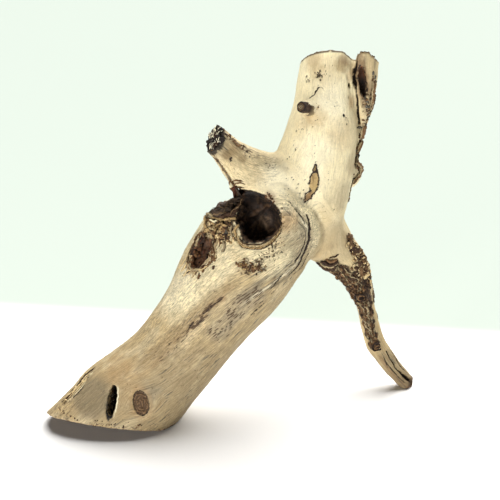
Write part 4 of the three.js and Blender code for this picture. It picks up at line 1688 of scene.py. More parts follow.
def parted(mesh):
    """The carved skin as one closed mesh for each of the frame's solids."""
    work = bmesh.new()
    work.from_mesh(mesh)
    for joint in JOINTS.values():
        cut_at(work, joint)
    middles = np.array([face.calc_center_median() for face in work.faces])
    owners = limbs_of(middles / MM - ROOT_ORIGIN)
    meshes = {name: piece_from(work, name, owners) for name in SLOTS}
    work.free()
    return meshes


def smooth_shaded(mesh):
    mesh.shade_smooth()
    normals = rows_of(mesh.attributes["smooth"].data, "vector", 3, np.float32)
    normals /= np.maximum(np.linalg.norm(normals, axis=1, keepdims=True), 1e-6)
    mesh.normals_split_custom_set_from_vertices(normals.tolist())


# Scraps: crumbs, strips and flakes of bark and torn wood that stand on the skin
def ball_shape(finer):
    work = bmesh.new()
    bmesh.ops.create_icosphere(work, subdivisions=finer, radius=1)
    points = np.array([vert.co for vert in work.verts])
    faces = np.array([[vert.index for vert in face.verts] for face in work.faces])
    work.free()
    return points, faces


SMALL_BALL = ball_shape(2)
LARGE_BALL = ball_shape(3)
# Crumbs above this size are made of the finer ball
LARGE_CRUMB = 1.3
STRIP_SIDES = 10
STRIP_STEP = 0.6


def smooth_line(points, step):
    """Even steps along a smooth curve through some points."""
    rows = curve(np.array(points, float), 24)
    travel = np.concatenate([[0], np.cumsum(np.linalg.norm(np.diff(rows, axis=0), axis=1))])
    count = max(6, int(travel[-1] / step))
    at = np.linspace(0, travel[-1], count)
    return columns(*(np.interp(at, travel, rows[:, k]) for k in range(3)))


def tube_faces(rings, sides):
    """The faces of a closed tube: the quads between its rings, and its two ends."""
    ring = np.arange(sides)
    after = (ring + 1) % sides
    faces = []
    for low in np.arange(rings - 1) * sides:
        high = low + sides
        faces.extend(columns(low + ring, low + after, high + after, high + ring))
    return [*faces, ring[::-1], (rings - 1) * sides + ring]


class Scraps:
    """Bits of bark and torn wood on the skin, gathered as one mesh."""

    def __init__(self, under):
        self.under = under
        self.points, self.faces, self.paint, self.grain = [], [], [], []
        self.total = 0
        self.clear = []

    def seat(self, hint):
        place, normal, _, _ = self.under.find_nearest(Vector(np.asarray(hint, float).tolist()))
        return np.array(place), np.array(normal)

    def gather(self, points, faces, height, size, paint, grain):
        """Adds a closed bit; painted shade makes it darkest where it meets the skin, and a painted highlight
        makes it paler on top.
        """
        # Painted shade towards the base and a painted highlight on top, over a random tone.
        shade = 0.26 + 0.74 * eased(height, -0.25 * size, 0.75 * size)
        shade *= 1 + 0.3 * noise(points / 1.1 + 3)
        shade *= 1 + 0.4 * eased(height, 0.5 * size, 1.3 * size)
        colours = paint * shade[:, None]
        self.points.append(points)
        self.faces.extend((np.asarray(face) + self.total).tolist() for face in faces)
        self.paint.append(colours)
        self.grain.append(grain)
        self.total += len(points)

    def crumb(self, hint, size, paint, flat=0.65, sink=0.3, way=None, long=1.25):
        """A rough lump or plate of about a size, lying on the skin."""
        place, normal = self.seat(hint)
        side = unit(np.cross(normal, random.normal(size=3) if way is None else way))
        along = np.cross(side, normal)
        ball, faces = LARGE_BALL if size > LARGE_CRUMB else SMALL_BALL
        spread = size * random.uniform(0.75, 1.25, 3) * [1, long, flat]
        blunt = np.sign(ball) * np.abs(ball) ** 0.75
        bumps = 1 + 0.5 * layered(ball * 1.3 + 40 * random.random(3), 2)
        local = blunt * spread * bumps[:, None]
        local[:, 2] += spread[2] * (1 - 2 * sink)
        tilt = random.normal(size=2) * 0.22
        local[:, 2] += local[:, 0] * tilt[0] + local[:, 1] * tilt[1]
        points = place + local @ np.stack([side, along, normal])
        self.gather(points, faces, local[:, 2], spread[2], paint, local + 30 * random.random(3))

    def strip(self, path, width, thick, paint, lift, rough=0.3, blunt=4):
        """A strip of bark or fibre along a path, thinning to its ends."""
        line = smooth_line(path, STRIP_STEP)
        share = np.linspace(0, 1, len(line))
        seats = [self.seat(place) for place in line]
        normals = np.array([normal for _, normal in seats])
        for _ in range(4):
            normals[1:-1] = (normals[:-2] + 2 * normals[1:-1] + normals[2:]) / 4
        normals /= np.linalg.norm(normals, axis=1, keepdims=True)
        line = np.array([place for place, _ in seats])
        heights = np.interp(share, np.linspace(0, 1, np.size(lift)), np.atleast_1d(lift))
        line = line + heights[:, None] * normals
        ahead = np.gradient(line, axis=0)
        side = np.cross(normals, ahead)
        side /= np.maximum(np.linalg.norm(side, axis=1, keepdims=True), 1e-6)
        taper = np.sqrt(np.clip(1 - np.abs(2 * share - 1) ** blunt, 0.02, 1))
        wave = columns(share * len(line) * STRIP_STEP / 3.0, 0 * share, 0 * share) + 50 * random.random(3)
        widths = width * taper * (1 + 0.4 * noise(wave))
        turn = np.arange(STRIP_SIDES) * 2 * math.pi / STRIP_SIDES
        across = (widths[:, None] * np.cos(turn))[..., None] * side[:, None]
        upward = (thick * taper[:, None] * np.sin(turn))[..., None] * normals[:, None]
        points = (line[:, None] + across + upward).reshape(-1, 3)
        shift = columns(*(layered(points / 1.5 + 21 * k, 2) for k in range(3)))
        points = points + rough * shift
        height = (heights[:, None] + thick * taper[:, None] * np.sin(turn)).ravel()
        around = (widths[:, None] * np.cos(turn)).ravel()
        along = np.repeat(share * len(line) * STRIP_STEP, STRIP_SIDES)
        grain = columns(around, height, along) + 30 * random.random(3)
        faces = tube_faces(len(line), STRIP_SIDES)
        self.gather(points, faces, height - np.min(heights), thick, paint, grain)

    def crumble(self, path, spread, count, size, paints, **shape):
        """Many crumbs scattered round a path."""
        line = smooth_line(path, 1.0)
        for _ in range(count):
            hint = line[random.integers(len(line))] + random.normal(size=3) * spread
            if any(np.linalg.norm(hint - at) < radius for at, radius in self.clear):
                continue
            paint = paints[random.integers(len(paints))] * random.uniform(0.75, 1.2)
            self.crumb(hint, size * random.uniform(0.5, 1.35), paint, **shape)

    def piece(self, name, slot, material):
        mesh = new_mesh(name, np.concatenate(self.points), self.faces)
        keep_paint(mesh, np.concatenate(self.paint))
        keep(mesh, "grain", np.concatenate(self.grain))
        mesh.shade_smooth()
        mesh.materials.append(material)
        made = placed(name, mesh)
        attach(made, "root")


CRUST_DARK = UMBER * 0.75 + GREY * 0.12


def crust_layers(scraps):
    """The crust's layers on the left of the knot hole, as strips that lie over each other."""
    dark = CRUST_DARK
    edge = BARK * 0.8 + DRAB * 0.15
    for path, width, thick, paint, lift in (
        ([[-12.5, 29, 194], [-15.9, 21, 189.5], [-20, 18.5, 185.8], [-26, 19, 182.5]],
         2.6, 1.1, dark, (1.2, 1.6, 1.2)),
        ([[-10, 27, 188], [-14.5, 18.5, 184.5], [-19, 16, 181.5], [-26, 15, 179.8], [-31, 19, 178.5]],
         2.4, 1.2, dark, 1.3),
        ([[-9, 22, 182.5], [-13.5, 14.5, 179.8], [-19, 14.5, 178], [-26, 14, 176.5]], 2.2, 1.1, UMBER, 1.0),
        ([[-7.2, 23.8, 190], [-8, 19.9, 185.5], [-12.7, 16.9, 180.6], [-15.1, 15.7, 177.4]],
         0.55, 0.7, edge, 1.9),
        ([[-10.5, 24, 191], [-12.5, 18.5, 186.5], [-17, 16.5, 182.5]], 0.5, 0.6, dark * 0.5, 2.3),
        ([[-13, 25, 192.5], [-16.5, 18.4, 188], [-20.6, 17, 184.6], [-25, 17, 182.5]], 0.55, 0.6, edge, 2.2),
        ([[-16, 22, 190.5], [-20, 19, 187], [-25, 18.6, 184.4], [-29, 19, 181.6]],
         0.6, 0.7, edge * 0.7, 2.2),
        ([[-19, 15.8, 180.5], [-24, 14.8, 179.6], [-29, 16.4, 178.8]], 0.5, 0.6, edge * 0.8, 2.3),
        ([[-10.5, 13, 175.5], [-16.5, 13.5, 174.5], [-24, 14.5, 174.6], [-31, 14, 175]],
         1.1, 1.0, STRAW * 0.9, (0.9, 1.5, 1.1)),
        ([[-34, 22, 175.5], [-34.6, 15, 171.5], [-33.5, 11.5, 166.5]], 1.2, 1.1, STRAW, 1.0),
        ([[-34.6, 19, 177], [-31, 16.5, 178.3], [-28, 15.8, 176.8]], 0.9, 0.9, DRAB * 0.8, 1.4),
        ([[-30, 12.5, 172.5], [-24.5, 13, 171.5], [-18, 10, 170.5]], 1.0, 0.9, STRAW, 1.2),
        ([[-32, 12, 174.5], [-29, 12.5, 173.6], [-26.5, 12.8, 174]], 0.7, 0.9, CREAM * 0.9, 1.7),
        ([[-9.2, 8.5, 172], [-11, 7.3, 167], [-9.5, 4.2, 162.5]], 1.0, 0.9, STRAW, 0.9),
        ([[-13.5, 9.5, 172], [-15, 8, 168], [-13.5, 5.2, 163]], 0.9, 0.8, DRAB, 0.9),
        ([[-21.5, 6.5, 159.5], [-19.8, 3.6, 155.5], [-20.4, 2.6, 152.3], [-22.6, 3.0, 151]],
         0.9, 0.8, DRAB * 0.75, 0.7),
        ([[-24.5, 8, 161], [-23.5, 6, 157], [-24.6, 5.4, 154.5]], 0.7, 0.7, BARK, 0.6),
        ([[-19.3, 8.3, 165], [-18.3, 5.6, 159.5]], 1.0, 0.9, UMBER * 0.7, 0.7),
    ):
        scraps.strip(path, width, thick, paint, lift, rough=0.55, blunt=6)


def crust_crumbs(scraps):
    """Flakes and crumbs over the crust's layers."""
    light = (STRAW * 0.8, STRAW, TAN * 0.9, BARK * 0.8, BARK, BARK * 0.5, UMBER * 0.8)
    flakes = {"flat": 0.45, "way": [1, 0, -0.5], "long": 1.9}
    scraps.crumble([[-31, 14, 172], [-25, 13, 170.5], [-19, 10, 168.5]], 2.2, 90, 1.1, light, **flakes)
    scraps.crumble(
        [[-33, 11, 167], [-27, 10, 164], [-22, 8, 162], [-18, 7, 160]], 2.3, 90, 0.95, light, **flakes
    )
    scraps.crumble([[-18, 10, 170], [-15, 8.5, 166], [-12, 5, 162]], 1.6, 40, 0.9, light, flat=0.5)
    scraps.crumble(
        [[-19, 9, 168], [-18, 7, 163], [-17.5, 6, 160]], 0.8, 20, 0.9, (UMBER * 0.6, GREY * 0.35), flat=0.6
    )
    tones = (UMBER, CRUST_DARK, GREY * 0.5, BARK * 0.7, UMBER * 0.6)
    scraps.crumble(
        [[-12, 28, 193], [-16, 19, 187], [-25, 16.5, 181.5]], 2.2, 90, 0.95, tones, flat=0.5, long=1.7
    )
    tones = (BARK, BARK * 0.7, DRAB * 0.6, UMBER, STRAW * 0.7)
    scraps.crumble(
        [[-14, 25, 190], [-20, 21, 186], [-28, 21, 182], [-32, 20, 178]], 1.9, 90, 0.9, tones, flat=0.6
    )
    scraps.crumble(
        [[-12, 14, 178], [-20, 14.5, 176.5], [-30, 15, 176]],
        1.7, 60, 0.85, (UMBER, BARK, BARK * 0.6), flat=0.5
    )
    scraps.crumble(
        [[-9.5, 8, 172], [-12.5, 7, 166], [-9.5, 3.5, 161.5]],
        1.1, 26, 0.7, (BARK, DRAB * 0.8, SAND), flat=0.5
    )


def notch_bark(scraps):
    """Thin dark strips, a broken tooth and crumbs at the notch above the hole."""
    for path, width, lift in (
        ([[-13.5, 29, 197], [-14.3, 25.5, 202.3], [-11, 22.3, 205.5], [-5.5, 21.3, 204.6]],
         0.5, (0.3, 1.5, 0.6)),
        ([[-13.4, 28, 196], [-12.6, 24, 200.8], [-8, 21.6, 202.8], [-3.6, 21.1, 201.6]],
         0.45, (0.3, 1.2, 0.4)),
        ([[-14.3, 31, 198], [-15, 27.5, 203.5], [-13.2, 25.2, 206.5]], 0.5, (0.4, 1.5, 1.2)),
        ([[-13, 29, 195.2], [-9, 24, 198.2], [-4.5, 22, 198.6]], 0.6, 0.7),
        ([[-14, 31.5, 194], [-14.6, 28.5, 199], [-12.6, 25.3, 203]], 0.9, 0.8),
    ):
        scraps.strip(path, width, 0.55, BROWN * 0.6, lift, rough=0.3)
    scraps.crumble([[-14, 30, 194], [-13, 27, 199]], 1.2, 16, 0.8, (RUST * 0.5, BARK * 0.7, UMBER))
    for path, width, thick, paint, lift in (
        ([[-13.5, 28, 199], [-14.2, 29.5, 195.5], [-14.6, 32, 192], [-15.5, 33.5, 189.5]],
         2.4, 2.8, BROWN * 0.5, (0.3, 1.9, 1.9, 0.5)),
        ([[-13, 26.5, 199], [-13.6, 28, 195.5], [-14.2, 30, 191.5]],
         2.0, 2.4, RUST * 0.4 + UMBER * 0.4, (0.5, 1.8, 0.8)),
        ([[-15, 26, 203], [-14.6, 27, 199], [-14.2, 29, 195]], 1.5, 1.8, CREAM * 0.7, (0.2, 1.2, 0.6)),
    ):
        scraps.strip(path, width, thick, paint, lift, rough=0.9, blunt=6)
    scraps.crumble(
        [[13, 20, 193], [16, 17, 191.5], [18.5, 14.5, 189.5]],
        1.0, 26, 0.65, (RUST * 0.35 + BROWN * 0.4, BARK * 0.7, UMBER), flat=0.4
    )


def hole_rim(scraps):
    """Fine layers and crumbs round the hole's lower rim."""
    rim = [
        [-9.2, 3.4, 161.9], [-6, 0.9, 158], [-0.8, 0.2, 156.7], [7.9, -0.2, 157], [13, 0, 158.7],
        [17.5, 1.4, 162], [22.3, 4.0, 167.2], [24.6, 7.5, 174],
    ]
    for start, stop, drop, width, paint in (
        (0, 4, -0.9, 0.45, BARK * 0.6),
        (3, 8, -1.1, 0.45, BARK * 0.5),
        (0, 5, 0.3, 0.6, STRAW),
        (4, 8, 0.3, 0.6, STRAW),
        (1, 5, 2.0, 0.4, BARK * 0.7),
        (4, 7, 1.9, 0.4, BARK * 0.6),
    ):
        path = [[x + drop * 0.35, y - 0.25 * drop, z - drop] for x, y, z in rim[start:stop]]
        scraps.strip(path, width, 0.6, paint, 0.3, rough=0.4)
    scraps.crumble(rim, 0.9, 30, 0.45, (BARK, BARK * 0.6, STRAW * 0.6), flat=0.4)
    scraps.crumble(
        [[23, 5, 168], [25.8, 8.3, 175], [25, 11, 182]],
        1.3, 22, 0.5, (BARK, STRAW * 0.8, DRAB * 0.7), flat=0.35
    )


def patch_crumbs(scraps):
    """Scraps on the rough patch under the hole, and specks beside it."""
    patch = [[-8, -2.5, 144], [-3, -3.5, 141.5], [2, -4, 139.5], [8, -3, 140.5]]
    tones = (BARK, BARK * 0.6, UMBER * 0.6, BROWN * 0.8, STRAW * 0.75, UMBER)
    scraps.crumble(patch, 1.9, 110, 0.7, tones, flat=0.45, long=1.5)
    specks = [[8, -1, 149], [14, -0.5, 150], [19, 1.5, 155], [23, 3.5, 161]]
    scraps.crumble(specks, 2.2, 56, 0.42, (BARK, BARK * 0.6, UMBER), flat=0.35)


def hole_crust(under):
    """Layered, crumbling crust on the left of the knot hole, and its torn rim and lip."""
    scraps = Scraps(under)
    for work in (crust_layers, crust_crumbs, notch_bark, hole_rim, patch_crumbs):
        work(scraps)
    scraps.piece("hole_crust", "trunk_wood", wood_material("crust", 0.14, 0.3, 0.8, 0.9))


def pocket_crust(under):
    """The torn rim of the smaller pocket, rotted lumps inside it, and splinters beside it."""
    scraps = Scraps(under)
    outline = [
        [-36, 17.3, 163.2], [-42.3, 26, 158], [-46.2, 22.5, 152], [-48.6, 19.5, 146], [-50.4, 14.9, 139],
        [-46.2, 7.6, 134.9], [-37.5, 3.0, 136.8], [-30.6, 2.4, 142.5], [-27.6, 5.0, 149.5],
        [-29.0, 12.5, 156], [-32, 15.5, 161.5],
    ]
    count = len(outline)
    for start, length, width, paint in (
        (0, 4, 0.9, BARK),
        (2, 4, 0.7, BARK * 0.6),
        (4, 3, 1.0, DRAB * 0.9),
        (5, 3, 0.8, SAND),
        (6, 4, 0.9, BARK),
        (8, 3, 1.1, BARK * 0.7),
        (9, 3, 0.9, DRAB),
        (3, 3, 0.6, SAND),
    ):
        path = [outline[(start + k) % count] for k in range(length)]
        scraps.strip(path, width, 0.8, paint, 0.5, rough=0.7)
    tones = (BARK, BROWN * 0.7, SAND * 0.9, UMBER, DRAB)
    scraps.crumble([*outline, outline[0]], 1.4, 110, 0.8, tones, flat=0.5, long=1.6)
    inner = [[-37.5, 14, 158], [-40, 13, 151], [-40.5, 11, 144], [-41, 8.5, 138.5]]
    red = (RUST * 0.2 + BROWN * 0.45, BROWN * 0.6, UMBER * 0.7, RUST * 0.3 + UMBER * 0.2)
    scraps.crumble(inner, 3.4, 40, 1.2, red, flat=0.3, sink=0.5, way=[-0.3, 0, -1], long=2.2)
    scraps.crumble([[-33, 13, 160], [-31, 9, 154], [-29.5, 6.5, 149]], 1.6, 36, 0.9, tones, flat=0.5)
    for path, width, lift in (
        ([[-56.5, 19.5, 131], [-52.5, 18.8, 138], [-48.4, 19.2, 145.5]], 0.9, (1.8, 0.9, 0.4)),
        ([[-55.5, 14.5, 129.5], [-51.5, 14.6, 136], [-49.2, 15.2, 140]], 0.8, (1.4, 0.6, 0.3)),
        ([[-53.5, 10.8, 127.5], [-49.5, 9.3, 132.2], [-45.5, 7.4, 135]], 0.8, (0.7, 0.5, 0.3)),
        ([[-46, 4, 128.5], [-44.2, 5, 131.8], [-42.2, 4.8, 134.6]], 0.7, 0.4),
    ):
        scraps.strip(path, width, 0.6, TAN * 0.9, lift, rough=0.25)
    shadow = [[-53.5, 12, 127], [-50, 10.5, 130], [-47, 8, 132.4]]
    scraps.strip(shadow, 0.5, 0.5, UMBER * 0.7, 0.5, rough=0.2)
    scraps.piece("pocket_crust", "trunk_wood", wood_material("pocket_wood", 0.14, 0.3, 0.8, 0.9))


CHARRED_CRUMBS = 64
TORN_FIBRES = 58
RIDGE_WRINKLES = 104


def stub_fibres(under):
    """Pale torn fibres and charred crumbs on the stub's broken end."""
    scraps = Scraps(under)
    middle = np.array([-27.5, 22.5, 238.2])
    out = unit([-0.74, -0.48, 0.46])
    up, side = upright(out)
    for _ in range(CHARRED_CRUMBS):
        turn, away = random.uniform(0, 2 * math.pi), 9.2 * math.sqrt(random.random())
        hint = middle + away * (math.cos(turn) * side + math.sin(turn) * up) - 0.06 * away * out
        paint = (NEAR_BLACK, NEAR_BLACK * 1.6, UMBER * 0.6)[random.integers(3)]
        scraps.crumb(hint, random.uniform(0.8, 1.9), paint, flat=0.8)
    for _ in range(TORN_FIBRES):
        turn, away = random.uniform(0, 2 * math.pi), 8.6 * math.sqrt(random.random())
        start = middle + away * (math.cos(turn) * side + math.sin(turn) * up)
        lean = turn + random.normal() * 0.9
        reach = random.uniform(2.2, 5.5) * (math.cos(lean) * side + math.sin(lean) * up)
        bow = random.normal(size=3) * 0.7
        path = [start - reach / 2, start + bow, start + reach / 2]
        paint = (GREY * 2, PALE * 0.5, PALE * 0.65, GREY * 0.4)[random.integers(4)]
        scraps.strip(path, random.uniform(0.3, 0.5), 0.4, paint, (0.9, 2.2, 1.3), rough=0.15)
    scraps.crumble(
        [[-21, 22, 243.5], [-16, 23, 239.5], [-6, 25.5, 231]], 1.3, 50, 0.65, (UMBER, BARK), flat=0.4
    )
    scraps.crumble([[-29, 22, 231], [-25, 22, 222], [-19, 23, 212]], 0.9, 26, 0.6, (UMBER, BARK), flat=0.35)
    scraps.piece("stub_fibres", "stub_wood", wood_material("charred_fibres", 0.1, 0.2, 0.85, 0.8))


def twig_peg(under):
    """The dark, ringed end of a snapped twig on the upper limb."""
    scraps = Scraps(under)
    tip, root = np.array([39.3, 28.0, 262.0]), np.array([49.5, 40.5, 257.8])
    ahead = unit(tip - root)
    side = unit(np.cross(ahead, [0, 0, 1]))
    up = np.cross(side, ahead)
    profile = [(-15, 6.6), (-10.5, 5.9), (-7, 5.0), (-4, 4.5), (-2, 4.4), (-0.9, 4.1), (-0.35, 3.6)]
    profile += [(-0.75, 3.1), (-0.2, 2.5), (-0.6, 1.9), (-0.05, 1.3), (-0.5, 0.8), (-0.6, 0.1)]
    sides = 28
    turn = np.arange(sides) * 2 * math.pi / sides
    rings = []
    for place, radius in profile:
        ripple = radius * (1 + 0.05 * np.sin(3 * turn + place) + 0.04 * np.sin(7 * turn))
        ring = tip + place * ahead + (ripple * np.cos(turn))[:, None] * side
        rings.append(ring + (ripple * np.sin(turn))[:, None] * up)
    points = np.concatenate(rings)
    points += 0.22 * columns(*(layered(points / 1.4 + 13 * k, 2) for k in range(3)))
    height = np.repeat([place for place, _ in profile], sides)
    grain = points - tip
    faces = tube_faces(len(profile), sides)
    scraps.gather(points, faces, np.full(len(points), 2.0), 1.0, UMBER * 0.8, grain)
    tones = (NEAR_BLACK, UMBER * 0.7, NEAR_BLACK, BARK, UMBER * 0.5, DRAB * 0.8, UMBER, SAND)
    colours = np.repeat([tones[max(0, k - 5)] for k in range(len(profile))], sides, axis=0)
    base = eased(height, -13, -8.5)[:, None]
    mottle = (0.75 + 0.9 * eased(layered(points / 1.3 + 6), 0.0, 0.5))[:, None]
    scraps.paint[-1] = (TAN * (1 - base) + UMBER * 0.8 * mottle * base) * (height[:, None] <= -1)
    scraps.paint[-1] += colours * (height[:, None] > -1)
    scraps.crumble(
        [[50, 38.5, 262], [52, 38.5, 258.5], [50, 36.5, 255]], 1.0, 9, 0.5, (BARK, SAND, DRAB), flat=0.4
    )
    scraps.piece("twig_peg", "limb_wood", wood_material("twig_end", 0.12, 0.25, 0.7, 0.8))


def limb_bark(under):
    """Scraps of bark left down the upper limb's right edge and on its slab."""
    scraps = Scraps(under)
    paints = (UMBER, BARK, BARK * 0.7, GREY * 0.6, DRAB)
    for path, width, thick, lift in (
        ([[100, 57, 279], [99.3, 56.5, 271], [98.5, 57.5, 262], [97.3, 58, 256.5]],
         1.1, 1.0, (0.6, 1.3, 1.0)),
        ([[98.8, 60, 268], [97.8, 60, 259], [95.5, 59, 253]], 1.0, 1.0, (0.8, 1.5, 0.8)),
        ([[93.6, 57, 243], [92, 56.5, 237.5], [91.2, 56.8, 231]], 1.6, 1.3, (0.8, 1.6, 1.0)),
        ([[92, 58, 230], [89.6, 56, 225.5], [88, 55.4, 220]], 1.7, 1.3, (0.9, 1.6, 0.7)),
        ([[88.4, 56, 219], [86.6, 54.8, 213.5], [87.2, 55, 207.5]], 1.2, 1.0, 1.1),
        ([[84.5, 54, 212], [89.3, 54.5, 210.8], [92.4, 55.6, 206.5], [91.2, 55.4, 201.5]],
         1.5, 1.1, (0.6, 1.6, 2.0, 1.0)),
        ([[91.8, 55.6, 203.5], [88.2, 54.4, 199], [84.6, 53.9, 194.5]], 1.3, 1.1, (1.4, 1.2, 0.5)),
        ([[83.5, 53, 196], [81, 51.5, 188], [78.5, 50, 180]], 1.1, 0.8, 0.5),
    ):
        paint = paints[random.integers(3)]
        scraps.strip(path, width, thick, paint, lift, rough=0.7)
        inner = [[x - 0.9, y - 1.2, z] for x, y, z in path]
        scraps.strip(inner, 0.4 * width, 0.8 * thick, DRAB, lift, rough=0.5)
    edge = [
        [99.8, 57, 281], [99.5, 56.8, 274], [97.8, 58, 258], [92, 56.5, 238], [89.5, 56, 226],
        [86.6, 54.6, 213], [90, 55, 204], [84, 53.5, 194],
    ]
    scraps.crumble(edge, 1.3, 150, 0.85, paints, flat=0.6, long=1.6)
    scraps.crumble([[92.5, 54, 268], [95, 55, 262], [94, 55, 255]], 1.8, 24, 0.8, paints, flat=0.4)
    scraps.crumble(
        [[87, 54, 303], [92, 54, 303], [98, 56.5, 300], [102, 60, 295.5]],
        0.6, 44, 0.55, (UMBER, BROWN * 0.6), flat=0.4
    )
    scraps.piece("limb_bark", "limb_wood", wood_material("limb_bark", 0.14, 0.3, 0.8, 0.9))


# The two knots in the leg's bark: middles and radii
BARK_KNOTS = (([96.1, 49.6, 96.2], 4.0), ([111.3, 57.4, 45.4], 3.0))


def bark_ridge(scraps):
    """The crumbling ridge of bark down the fork's right side, with wrinkles across it."""
    ridge = [
        [82.5, 46, 150], [86.5, 47.3, 142.5], [90, 48.3, 136], [92.6, 48.4, 128.5], [95.3, 49, 122],
        [98.2, 49.4, 117],
    ]
    dark = (UMBER, UMBER * 0.6, BARK * 0.7)
    pale = (DRAB * 1.1, SAND, BARK, TAN * 0.9)
    scraps.crumble(ridge, 2.0, 60, 1.7, (UMBER * 0.8, BARK * 0.75), flat=0.8, sink=0.2)
    scraps.crumble(ridge, 2.7, 210, 0.8, (*pale, *dark, *pale), flat=0.8, sink=0.1, long=1.7)
    scraps.crumble(
        [[100.5, 52, 117], [102.5, 54, 110], [101.5, 55, 103]], 1.5, 46, 0.9, (*pale, *dark), flat=0.7
    )
    line = smooth_line(ridge[1:], 1.0)
    for _ in range(RIDGE_WRINKLES):
        start = line[random.integers(len(line))] + random.normal(size=3) * [2.2, 1.2, 1.5]
        bow = random.normal(size=3) * 1.1
        reach = unit([1, -0.2, 0.15]) * random.uniform(2, 4.5)
        paint = (*pale, *dark)[random.integers(7)]
        wrinkle = [start - reach / 2, start + bow, start + reach / 2]
        scraps.strip(wrinkle, 0.6, 0.8, paint, (1.2, 2.2, 1.3), rough=0.35)
    curl = [[99.8, 49.8, 119.5], [98.5, 49.6, 115.5], [95.8, 50, 112.8]]
    scraps.strip(curl, 1.6, 1.4, TAN, 1.6, rough=0.6)


def fork_curls(scraps):
    """Curled strips of bark under the fork."""
    for path, width, thick, paint, lift in (
        ([[57.5, 49, 131], [61, 47.5, 125.5], [67, 43.5, 123.2], [72.5, 41, 126.5]],
         2.1, 0.9, UMBER * 0.7, (0.8, 2.2, 2.4, 1.0)),
        ([[60, 46.8, 132], [63.5, 44.6, 127.8], [69.5, 41.8, 126.6], [73, 40, 130]],
         1.1, 0.7, DRAB * 0.8, (0.9, 2.2, 2.4, 1.0)),
        ([[60.5, 46.5, 133.5], [64.5, 44, 129.6], [70, 41.2, 128.8], [73.4, 39.5, 132.5]],
         1.5, 0.8, UMBER * 0.5, (0.7, 1.8, 2.0, 0.8)),
        ([[64.5, 43.2, 135.5], [68.5, 41, 131.8], [73, 39, 133.6]], 1.2, 0.8, BARK, (0.5, 1.4, 0.8)),
        ([[66, 42.5, 137.5], [70.5, 40, 136.6], [73.5, 38.8, 138.2]], 0.8, 0.6, UMBER * 0.7, 0.6),
    ):
        scraps.strip(path, width, thick, paint, lift, rough=0.35)


def leg_flakes(scraps):
    """Flakes and thin strips down the leg, kept clear of its knots."""
    scraps.clear = [(np.array(at), radius + 1.2) for at, radius in BARK_KNOTS]
    tones = (UMBER, BARK, BARK * 0.7, BARK * 1.2, UMBER * 0.7, DRAB * 0.65)
    for path, spread, count, size in (
        ([[70, 44, 124], [77, 46.5, 117], [83, 50, 111]], 3.4, 170, 0.95),
        ([[82, 48, 114], [89, 51, 107], [92, 52, 100]], 4.0, 220, 0.95),
        ([[92, 54, 96], [96, 55, 90], [99, 56, 83]], 3.2, 150, 0.9),
        ([[101, 57, 79], [103.5, 58, 71], [105.5, 58.5, 62]], 2.3, 120, 0.85),
        ([[106, 58.5, 58], [108.5, 58, 51], [110, 57.6, 47]], 2.0, 80, 0.75),
        ([[97, 77, 104], [102, 78, 92], [107, 78, 78]], 4.0, 60, 1.7),
    ):
        way = np.array(path[-1]) - np.array(path[0])
        scraps.crumble(path, spread, count, size, tones, flat=0.3, way=way, long=2.1, sink=0.2)
    for path in (
        [[73.5, 42, 128], [79, 46, 119.5], [86, 49.5, 111]],
        [[78, 43.5, 126], [86, 48, 117], [93, 51, 108]],
        [[93, 53, 92], [97, 55.5, 85], [100.5, 57, 77]],
        [[98.5, 54.5, 90], [102, 57, 80], [104.6, 58.5, 70]],
        [[103, 59, 72], [105.5, 58.8, 63], [108, 58.3, 55]],
        [[100.6, 59, 74], [103.3, 59.5, 65], [106.3, 59, 56]],
    ):
        scraps.strip(path, 0.45, 0.8, DRAB * 0.9, (0.8, 1.3, 0.8), rough=0.8)
    scraps.clear = []


def ringed_knots(scraps):
    for at, radius in BARK_KNOTS:
        place, normal = scraps.seat(at)
        up, side = upright(normal)
        for share, paint in ((1.0, UMBER * 0.5), (0.66, BARK * 1.1), (0.4, UMBER * 0.4)):
            ring = [
                place + radius * share * (math.cos(turn) * side + 0.85 * math.sin(turn) * up)
                for turn in np.linspace(0.3, 2 * math.pi + 0.1, 11)
            ]
            scraps.strip(ring, 0.75, 0.9, paint, 0.9 + 0.6 * share, rough=0.3)
        scraps.crumb(place, 0.9, NEAR_BLACK, flat=0.8)


def root_bark(under):
    """Rough bark on the leg root: a crumbling ridge, curls under the fork, flakes and knots."""
    scraps = Scraps(under)
    for work in (bark_ridge, fork_curls, leg_flakes, ringed_knots):
        work(scraps)
    scraps.piece("root_bark", "leg_wood", wood_material("root_bark", 0.16, 0.3, 0.82, 1.0))


